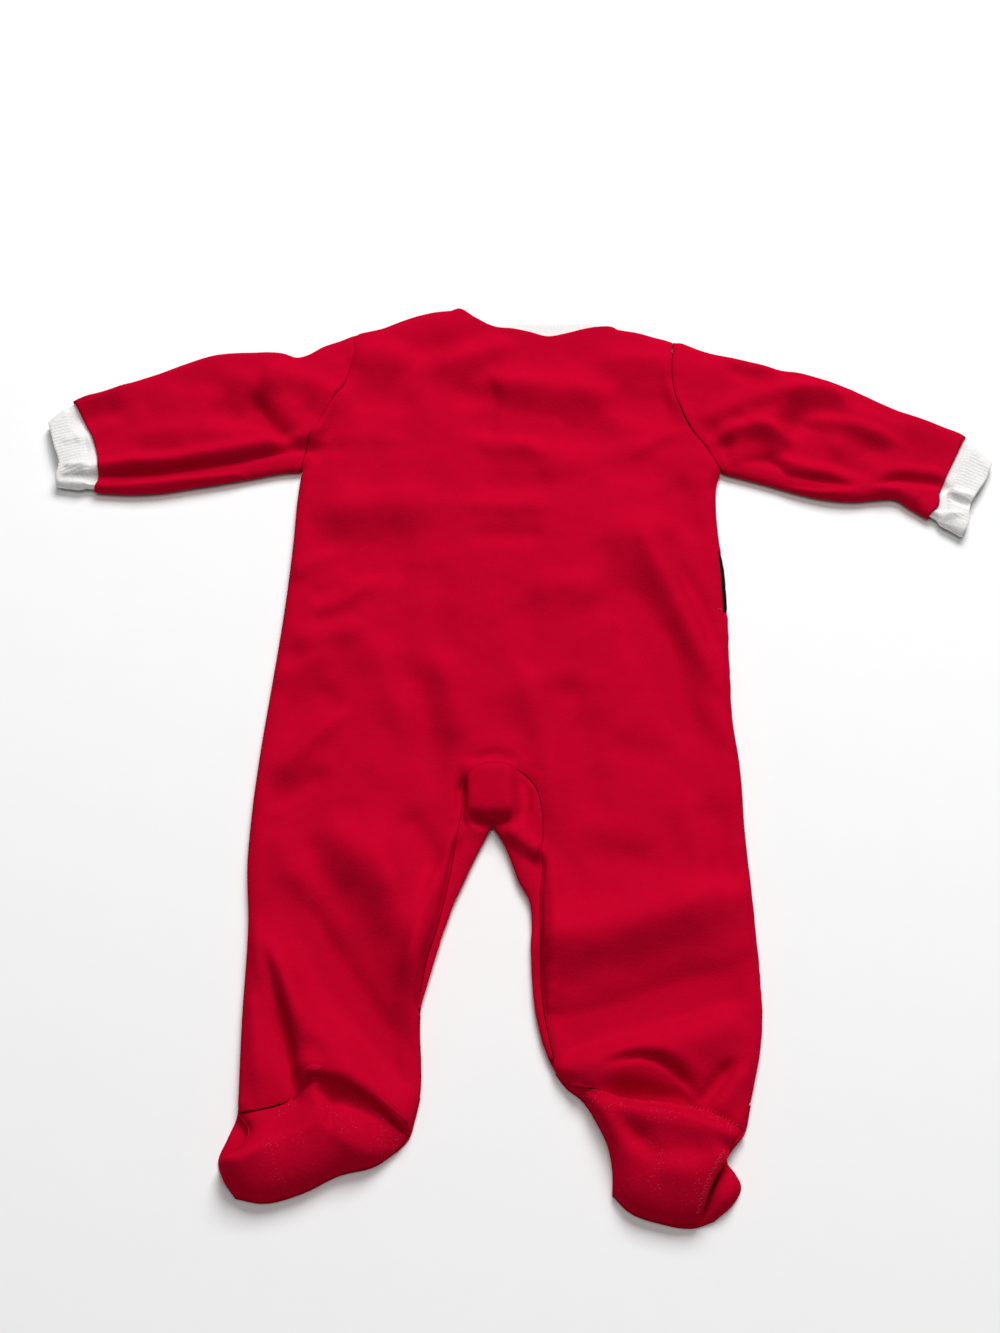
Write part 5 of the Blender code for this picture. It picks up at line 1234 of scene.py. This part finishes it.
def sole_top(side, xy):
    """Height of a sole's outer face: it carries on from the leg, and rolls down at its edges."""
    outer, end, inner = foot_outline(SOLE_EDGES[side])
    if side == "right":
        toe_seam = outer[outer[:, 1] <= RIGHT_TOE_Y]
        outer = outer[outer[:, 1] > RIGHT_TOE_Y]
    full = (rounding(nearest_on([end], xy)[0], END_ROLL[side])[0]
            * rounding(nearest_on([outer, inner], xy)[0], FOOT_ROLL)[0])
    own = SOLE_LOFT + fold_rise(xy, SOLE_FOLDS) + soft_waves(xy)
    from_ankle, _ = nearest_on([ANKLES[side]], xy)
    carried = 1 - ramp(from_ankle, 0.0, SOLE_BLEND)
    if side == "left":
        carried = carried * (1 - lip_share(xy))
    height = own + carried * (upper_height(xy) - own)
    if side == "left":
        ceiling = upper_height(xy) - LIP_CLEAR + LIP_SLOPE * from_ankle
        height = -at_least(-height, -ceiling, softness=1.0)
    if side == "right":
        full_toe, _ = rounding(nearest_on([toe_seam], xy)[0], TOE_ROLL)
        height = height - TOE_DROP * (1 - full_toe)
    low = SOLE_BASE_Z + SOLE_EDGE
    return low + (at_least(height, low + SOLE_LEAST, softness=1.0) - low) * full


def make_sole(side, cell):
    """A sole folded over its foot: a shell of fleece over the folded layers."""
    outer, end, inner = foot_outline(SOLE_EDGES[side])
    tuck = np.zeros(len(ANKLES[side]))
    if side == "left":
        tuck = LIP_TUCK * lip_share(ANKLES[side])
    top_row = ANKLES[side] + np.stack([0 * tuck, tuck - ANKLE_GAP[side]], axis=-1)
    count = cells_of(outer, cell)
    steps = SOLE_STEPS
    cells = max(8, round(FOOT_WIDTH / cell))
    xy = ruled(even_rows(outer, count), even_rows(inner, count), steps, steps, cells,
               top=spread(top_row, steps, steps, cells), bottom=spread(end, steps, steps, cells))
    sole = flat_based("foot_sole_cloth_" + side, xy, sole_top(side, xy), SOLE_BASE_Z)
    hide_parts("foot_sole_" + side)
    return sole


# ---- stitches ----

def stitches(name, starts, ends, arch=STITCH_ARCH):
    """Short threads from start to end points, each swelling and arching in its middle.

    Ring radius and arch both follow half a sine wave along the stitch, so it
    closes to a point at either end.
    """
    starts, ends = np.asarray(starts), np.asarray(ends)
    run = ends - starts
    wave = np.sin(np.linspace(0.0, np.pi, STITCH_RINGS))
    share = np.linspace(0.0, 1.0, STITCH_RINGS)
    spine = starts[:, None] + share[:, None] * run[:, None]
    spine[..., 2] += arch * wave
    beside = np.stack([-run[:, 1], run[:, 0], 0 * run[:, 0]], axis=-1)
    beside /= np.linalg.norm(beside, axis=-1, keepdims=True)
    turn = np.linspace(0.0, 2 * np.pi, STITCH_SIDES, endpoint=False)
    radius = (STITCH_RADIUS * wave[1:-1])[:, None, None]
    rings = (spine[:, 1:-1, None] + radius * np.cos(turn)[:, None] * beside[:, None, None]
             + radius * np.sin(turn)[:, None] * np.array([0.0, 0.0, 1.0]))
    count, ring_points = len(starts), (STITCH_RINGS - 2) * STITCH_SIDES
    points = np.concatenate([rings.reshape(count, ring_points, 3), spine[:, [0, -1]]], axis=1)
    step = np.arange(STITCH_SIDES)
    after = (step + 1) % STITCH_SIDES
    ring = np.arange(STITCH_RINGS - 3)[:, None] * STITCH_SIDES
    next_ring = ring + STITCH_SIDES
    last = ring_points - STITCH_SIDES
    faces = np.concatenate([
        np.stack([ring + step, ring + after, next_ring + after], axis=-1).reshape(-1, 3),
        np.stack([ring + step, next_ring + after, next_ring + step], axis=-1).reshape(-1, 3),
        np.stack([np.full_like(step, ring_points), after, step], axis=-1),
        np.stack([np.full_like(step, ring_points + 1), last + step, last + after], axis=-1)])
    first = np.arange(count)[:, None, None] * (ring_points + 2)
    return make_mesh(name, points.reshape(-1, 3), (faces + first).reshape(-1, 3))


def on_sole(xy):
    """Points a little above the right sole."""
    return np.concatenate([xy, (sole_top("right", xy) + STITCH_RADIUS * STITCH_RISE)[..., None]],
                          axis=-1)


def on_leg(xy):
    """Points a little above the right leg of the back."""
    points, normals = skin(xy, np.ones(len(xy)), False)
    return points + STITCH_RADIUS * STITCH_RISE * normals


def make_stitches():
    """The sole's zigzag along the toe, the over-edge seam at the ankle, the belt's line."""
    toe = smooth_curve(RIGHT_SOLE_EDGE["outer"])
    toe = toe[toe[:, 1] < RIGHT_TOE_Y]
    rows = even_rows(toe, round(lengths_of(toe)[-1] / ZIGZAG_STEP))
    inset = np.where(np.arange(len(rows)) % 2, ZIGZAG_IN + ZIGZAG_WIDTH, ZIGZAG_IN)
    zigzag = on_sole(rows - inset[:, None] * ZIGZAG_WAY)[1:-1]

    ankle = ANKLES["right"]
    ankle = ankle[(ankle[:, 0] > ANKLE_STITCH_X[0]) & (ankle[:, 0] < ANKLE_STITCH_X[1])]
    rows = even_rows(ankle, round(lengths_of(ankle)[-1] / ANKLE_STITCH_STEP))
    below, above = on_sole(rows - ANKLE_STITCH), on_leg(rows + ANKLE_STITCH)

    x = BELT_STITCH_X + np.arange(BELT_STITCHES + 1) * BELT_STITCH_STEP
    belt = on_leg(np.stack([x, np.full_like(x, BELT_BOTTOM_Y + BELT_STITCH_IN)], axis=-1))
    return (stitches("sole_stitches", zigzag[:-1], zigzag[1:]),
            stitches("ankle_stitches", below, above),
            stitches("belt_stitches", belt[:-1] + BELT_STITCH_GAP,
                     belt[1:] - BELT_STITCH_GAP))


# ---- materials ----

class Value:
    """One output of a shader node. Arithmetic on it adds Math nodes."""

    def __init__(self, tree, output):
        self.tree, self.output = tree, output

    def node(self, kind, inputs, output=0, **settings):
        """Add a node with settings, and values or links for its inputs."""
        made = self.tree.nodes.new("ShaderNode" + kind)
        for key, setting in settings.items():
            setattr(made, key, setting)
        for key, value in inputs.items():
            if isinstance(value, Value):
                self.tree.links.new(value.output, made.inputs[key])
            else:
                made.inputs[key].default_value = value
        return Value(self.tree, made.outputs[output])

    def maths(self, operation, first, second):
        return self.node("Math", {0: first, 1: second}, operation=operation)

    def __add__(self, other):
        return self.maths("ADD", self, other)

    def __sub__(self, other):
        return self.maths("SUBTRACT", self, other)

    def __mul__(self, other):
        return self.maths("MULTIPLY", self, other)

    def __truediv__(self, other):
        return self.maths("DIVIDE", self, other)

    def __rsub__(self, other):
        return self.maths("SUBTRACT", other, self)

    def __rtruediv__(self, other):
        return self.maths("DIVIDE", other, self)

    __radd__ = __add__
    __rmul__ = __mul__

    def ramp(self, low, high):
        """Smooth step from 0 at low to 1 at high."""
        return self.node("MapRange", {"Value": self, "From Min": low, "From Max": high},
                         interpolation_type="SMOOTHSTEP")

    def noise(self, size, detail=2.0, roughness=0.5):
        """Noise of 0 to 1 over a position, its lumps about size metres."""
        return self.node("TexNoise", {"Vector": self, "Scale": 1.0 / size, "Detail": detail,
                                      "Roughness": roughness})

    def grains(self, size, **settings):
        """Distance to the nearest of points scattered about size metres apart."""
        return self.node("TexVoronoi", {"Vector": self, "Scale": 1.0 / size}, **settings)

    def between(self, low, high):
        """A colour from low to high by this factor."""
        return self.node("Mix", {0: self, 6: (*low, 1.0) if isinstance(low, tuple) else low,
                                 7: (*high, 1.0) if isinstance(high, tuple) else high},
                         output=2, data_type="RGBA")


def scaled(colour, share):
    return tuple(part * share for part in colour)


def new_material(name):
    """A material, its object position and its Principled shader's node."""
    made = bpy.data.materials.get(name) or bpy.data.materials.new(name)
    made.use_nodes = True
    tree = made.node_tree
    tree.nodes.clear()
    shader = tree.nodes.new("ShaderNodeBsdfPrincipled")
    output = tree.nodes.new("ShaderNodeOutputMaterial")
    tree.links.new(shader.outputs[0], output.inputs[0])
    place = tree.nodes.new("ShaderNodeTexCoord").outputs["Object"]
    return made, Value(tree, place), shader


def finish_material(place, shader, colour, roughness, height, depth, constants):
    """Link colour, roughness and bump; set the constants on the shader's own sockets."""
    bump = place.node("Bump", {"Height": height, "Distance": depth, "Strength": 1.0},
                      output="Normal")
    for socket, value in (("Base Color", colour), ("Roughness", roughness), ("Normal", bump)):
        place.tree.links.new(value.output, shader.inputs[socket])
    for socket, value in constants.items():
        shader.inputs[socket].default_value = value


def fleece_material(name, colour, pale_flecks=0.0):
    """Brushed fleece: fine matted tufts, softly mottled, with a slight bloom."""
    made, place, shader = new_material(name)
    tufts = place.noise(0.0016, detail=3.0, roughness=0.65)
    curls = place.grains(0.0013, feature="SMOOTH_F1")
    patches = place.noise(0.006, detail=2.0)
    clouds = place.noise(0.035, detail=2.0)
    nap = tufts * 0.6 + curls * 0.3 + patches * 0.1
    depth = (tufts.ramp(0.3, 0.72) * 0.4 + curls.ramp(0.05, 0.7) * 0.2
             + patches.ramp(0.3, 0.7) * 0.22 + clouds.ramp(0.3, 0.7) * 0.18)
    high = tuple(min(part * 1.06, 1.0) for part in colour)
    shade = depth.between(scaled(colour, 0.92), high)
    if pale_flecks:
        fleck = place.grains(0.0013).ramp(0.2, 0.08) * place.noise(0.012).ramp(0.45, 0.7)
        shade = (fleck * pale_flecks).between(shade, (0.8, 0.3, 0.33))
    finish_material(place, shader, shade, 0.86 + tufts * 0.14, nap, 0.00026, {
        "Specular IOR Level": 0.0, "Sheen Weight": 0.1, "Sheen Roughness": 0.5,
        "Sheen Tint": (*high, 1.0)})
    return made


def rib_material(name, colour):
    """Fine cotton rib: small knit stitches with a little fuzz."""
    made, place, shader = new_material(name)
    stitch = place.grains(0.0011)
    fuzz = place.noise(0.0006, detail=2.0)
    clouds = place.noise(0.012)
    shade = (stitch.ramp(0.1, 0.75) * 0.5 + clouds * 0.5).between(colour, scaled(colour, 0.86))
    finish_material(place, shader, shade, 0.84 + fuzz * 0.16, fuzz * 0.5 - stitch * 0.5, 0.0003,
                    {"Specular IOR Level": 0.1, "Sheen Weight": 0.1})
    return made


def thread_material(name, colour):
    """Twisted thread: slight unevenness along each stitch."""
    made, place, shader = new_material(name)
    twist = place.noise(0.0005, detail=2.0)
    shade = twist.between(scaled(colour, 0.72), colour)
    finish_material(place, shader, shade, 0.6 + twist * 0.3, twist, 0.0001,
                    {"Specular IOR Level": 0.2})
    return made


def metal_material(name, colour):
    """Pressed nickel with fine scuffs."""
    made, place, shader = new_material(name)
    scuffs = place.noise(0.0007, detail=4.0)
    shade = scuffs.between(scaled(colour, 0.85), colour)
    finish_material(place, shader, shade, 0.26 + scuffs * 0.2, scuffs, 0.00002,
                    {"Metallic": 1.0})
    return made


def floor_material(name, colour):
    """Plain matt paper with a barely seen grain."""
    made, place, shader = new_material(name)
    grain = place.noise(0.02, detail=3.0)
    shade = grain.between(scaled(colour, 0.985), colour)
    finish_material(place, shader, shade, 0.9 + grain * 0.1, grain, 0.0001,
                    {"Specular IOR Level": 0.05})
    return made


def paint(made, material):
    made.data.materials.clear()
    made.data.materials.append(material)


# ---- operators ----

class SleeperSettings(bpy.types.PropertyGroup):
    cloth_cell: bpy.props.FloatProperty(
        name="Cloth cell", description="Spacing of the points on the back and sleeves, in mm",
        default=2.0, min=1.2, max=6.0)
    front_cell: bpy.props.FloatProperty(
        name="Front cell", description="Spacing of the points on the fronts, in mm",
        default=3.2, min=1.5, max=8.0)
    foot_cell: bpy.props.FloatProperty(
        name="Foot cell", description="Spacing of the points on the feet, in mm",
        default=1.4, min=0.8, max=5.0)
    red: bpy.props.FloatVectorProperty(
        name="Fleece", description="Colour of the main fleece", subtype="COLOR",
        default=(0.49, 0.0012, 0.021), min=0.0, max=1.0)
    black: bpy.props.FloatVectorProperty(
        name="Belt", description="Colour of the belt's fleece", subtype="COLOR",
        default=(0.006, 0.006, 0.007), min=0.0, max=1.0)
    white: bpy.props.FloatVectorProperty(
        name="Rib", description="Colour of the cuffs and neckband", subtype="COLOR",
        default=(0.86, 0.85, 0.84), min=0.0, max=1.0)
    light: bpy.props.FloatProperty(
        name="Light", description="Power of both softboxes, in watts", default=119.0, min=1.0,
        max=500.0)


def red_fleece(settings):
    return fleece_material("red_fleece", tuple(settings.red))


def white_rib(settings):
    return rib_material("white_rib", tuple(settings.white))


class Making:
    """What the pieces' operators share: make is given the panel's settings."""

    def execute(self, context):
        self.make(context.scene.sleeper)
        return {"FINISHED"}


class SLEEPER_OT_stage(bpy.types.Operator):
    """Lay the pale floor, set the lights and place the camera"""
    bl_idname = "sleeper.stage"
    bl_label = "Stage"

    def execute(self, context):
        scene = context.scene
        half = FLOOR_HALF
        mesh = bpy.data.meshes.new("floor")
        mesh.from_pydata([(-half, -half, FLOOR_Z), (half, -half, FLOOR_Z), (half, half, FLOOR_Z),
                          (-half, half, FLOOR_Z)], [], [(0, 1, 2, 3)])
        floor = bpy.data.objects.new("floor", mesh)
        scene.collection.objects.link(floor)
        paint(floor, floor_material("paper", (0.93, 0.93, 0.93)))

        for name, place, size, share in SOFTBOXES:
            lamp = bpy.data.lights.new(name, "AREA")
            lamp.shape = "SQUARE"
            lamp.size = size
            lamp.energy = share * scene.sleeper.light
            made = bpy.data.objects.new(name, lamp)
            made.location = place
            made.rotation_euler = (-Vector(place)).to_track_quat("-Z", "Y").to_euler()
            scene.collection.objects.link(made)

        world = bpy.data.worlds.new("studio")
        world.use_nodes = True
        sky = world.node_tree.nodes["Background"]
        sky.inputs["Color"].default_value = (1.0, 1.0, 1.0, 1.0)
        sky.inputs["Strength"].default_value = SKY
        scene.world = world
        scene.view_settings.view_transform = "Standard"

        lens = bpy.data.cameras.new("camera")
        lens.lens = CAMERA_LENS
        lens.sensor_width = CAMERA_SENSOR
        camera = bpy.data.objects.new("camera", lens)
        camera.location = CAMERA_PLACE
        camera.rotation_euler = (math.radians(CAMERA_TILT), 0.0, 0.0)
        scene.collection.objects.link(camera)
        scene.camera = camera
        return {"FINISHED"}


class SLEEPER_OT_back(Making, bpy.types.Operator):
    """Make the back, from the neckline to the ankles"""
    bl_idname = "sleeper.back"
    bl_label = "Back"

    def make(self, settings):
        paint(make_back(settings.cloth_cell), red_fleece(settings))


class SLEEPER_OT_gusset(Making, bpy.types.Operator):
    """Make the gusset between the legs"""
    bl_idname = "sleeper.gusset"
    bl_label = "Gusset"

    def make(self, settings):
        paint(make_gusset(settings.cloth_cell / GUSSET_FINER), red_fleece(settings))


class SLEEPER_OT_fronts(Making, bpy.types.Operator):
    """Make the fronts and the belt pieces"""
    bl_idname = "sleeper.fronts"
    bl_label = "Fronts and belt"

    def make(self, settings):
        red = red_fleece(settings)
        black = fleece_material("black_fleece", tuple(settings.black))
        for node, front in make_fronts(settings.front_cell).items():
            paint(front, black if node.startswith("belt_") else red)


class SLEEPER_OT_arms(Making, bpy.types.Operator):
    """Make the sleeves and their cuffs"""
    bl_idname = "sleeper.arms"
    bl_label = "Sleeves and cuffs"

    def make(self, settings):
        for side in SIDES:
            sleeve, cuff = make_arm(side, settings.cloth_cell)
            paint(sleeve, red_fleece(settings))
            paint(cuff, white_rib(settings))


class SLEEPER_OT_neckband(Making, bpy.types.Operator):
    """Make the neckband"""
    bl_idname = "sleeper.neckband"
    bl_label = "Neckband"

    def make(self, settings):
        paint(make_neckband(), white_rib(settings))


class SLEEPER_OT_studs(Making, bpy.types.Operator):
    """Make the press studs' caps"""
    bl_idname = "sleeper.studs"
    bl_label = "Press studs"

    def make(self, settings):
        metal = metal_material("stud_metal", (0.72, 0.71, 0.69))
        for number in range(STUDS):
            paint(make_stud(number), metal)


class SLEEPER_OT_feet(Making, bpy.types.Operator):
    """Make the feet: uppers and soles"""
    bl_idname = "sleeper.feet"
    bl_label = "Feet"

    def make(self, settings):
        worn = fleece_material("red_fleece_worn", tuple(settings.red), pale_flecks=0.3)
        for side in SIDES:
            paint(make_upper(side, settings.foot_cell), red_fleece(settings))
            paint(make_sole(side, settings.foot_cell), worn)


class SLEEPER_OT_stitches(Making, bpy.types.Operator):
    """Make the rows of stitches that show"""
    bl_idname = "sleeper.stitches"
    bl_label = "Stitches"

    def make(self, settings):
        sole, ankle, belt = make_stitches()
        for piece, slot, colour in ((sole, "red_fleece", (0.58, 0.06, 0.1)),
                                    (ankle, "red_fleece", (0.5, 0.03, 0.06)),
                                    (belt, "black_fleece", (0.25, 0.25, 0.26))):
            paint(piece, thread_material(piece.name + "_thread", colour))


OPERATORS = (SLEEPER_OT_stage, SLEEPER_OT_back, SLEEPER_OT_gusset, SLEEPER_OT_fronts,
             SLEEPER_OT_arms, SLEEPER_OT_neckband, SLEEPER_OT_studs, SLEEPER_OT_feet,
             SLEEPER_OT_stitches)


class SLEEPER_PT_panel(bpy.types.Panel):
    """The sleeper's pieces, in the order they are made"""
    bl_label = "Sleeper"
    bl_idname = "SLEEPER_PT_panel"
    bl_space_type = "VIEW_3D"
    bl_region_type = "UI"
    bl_category = "Sleeper"

    def draw(self, context):
        settings = context.scene.sleeper
        for name in SleeperSettings.__annotations__:
            self.layout.prop(settings, name)
        for operator in OPERATORS:
            self.layout.operator(operator.bl_idname)


def register():
    for kind in (SleeperSettings, *OPERATORS, SLEEPER_PT_panel):
        bpy.utils.register_class(kind)
    bpy.types.Scene.sleeper = bpy.props.PointerProperty(type=SleeperSettings)


def unregister():
    del bpy.types.Scene.sleeper
    for kind in (SLEEPER_PT_panel, *reversed(OPERATORS), SleeperSettings):
        bpy.utils.unregister_class(kind)


def main():
    register()
    for operator in OPERATORS:
        group, name = operator.bl_idname.split(".")
        getattr(getattr(bpy.ops, group), name)()


if __name__ == "__main__":
    main()
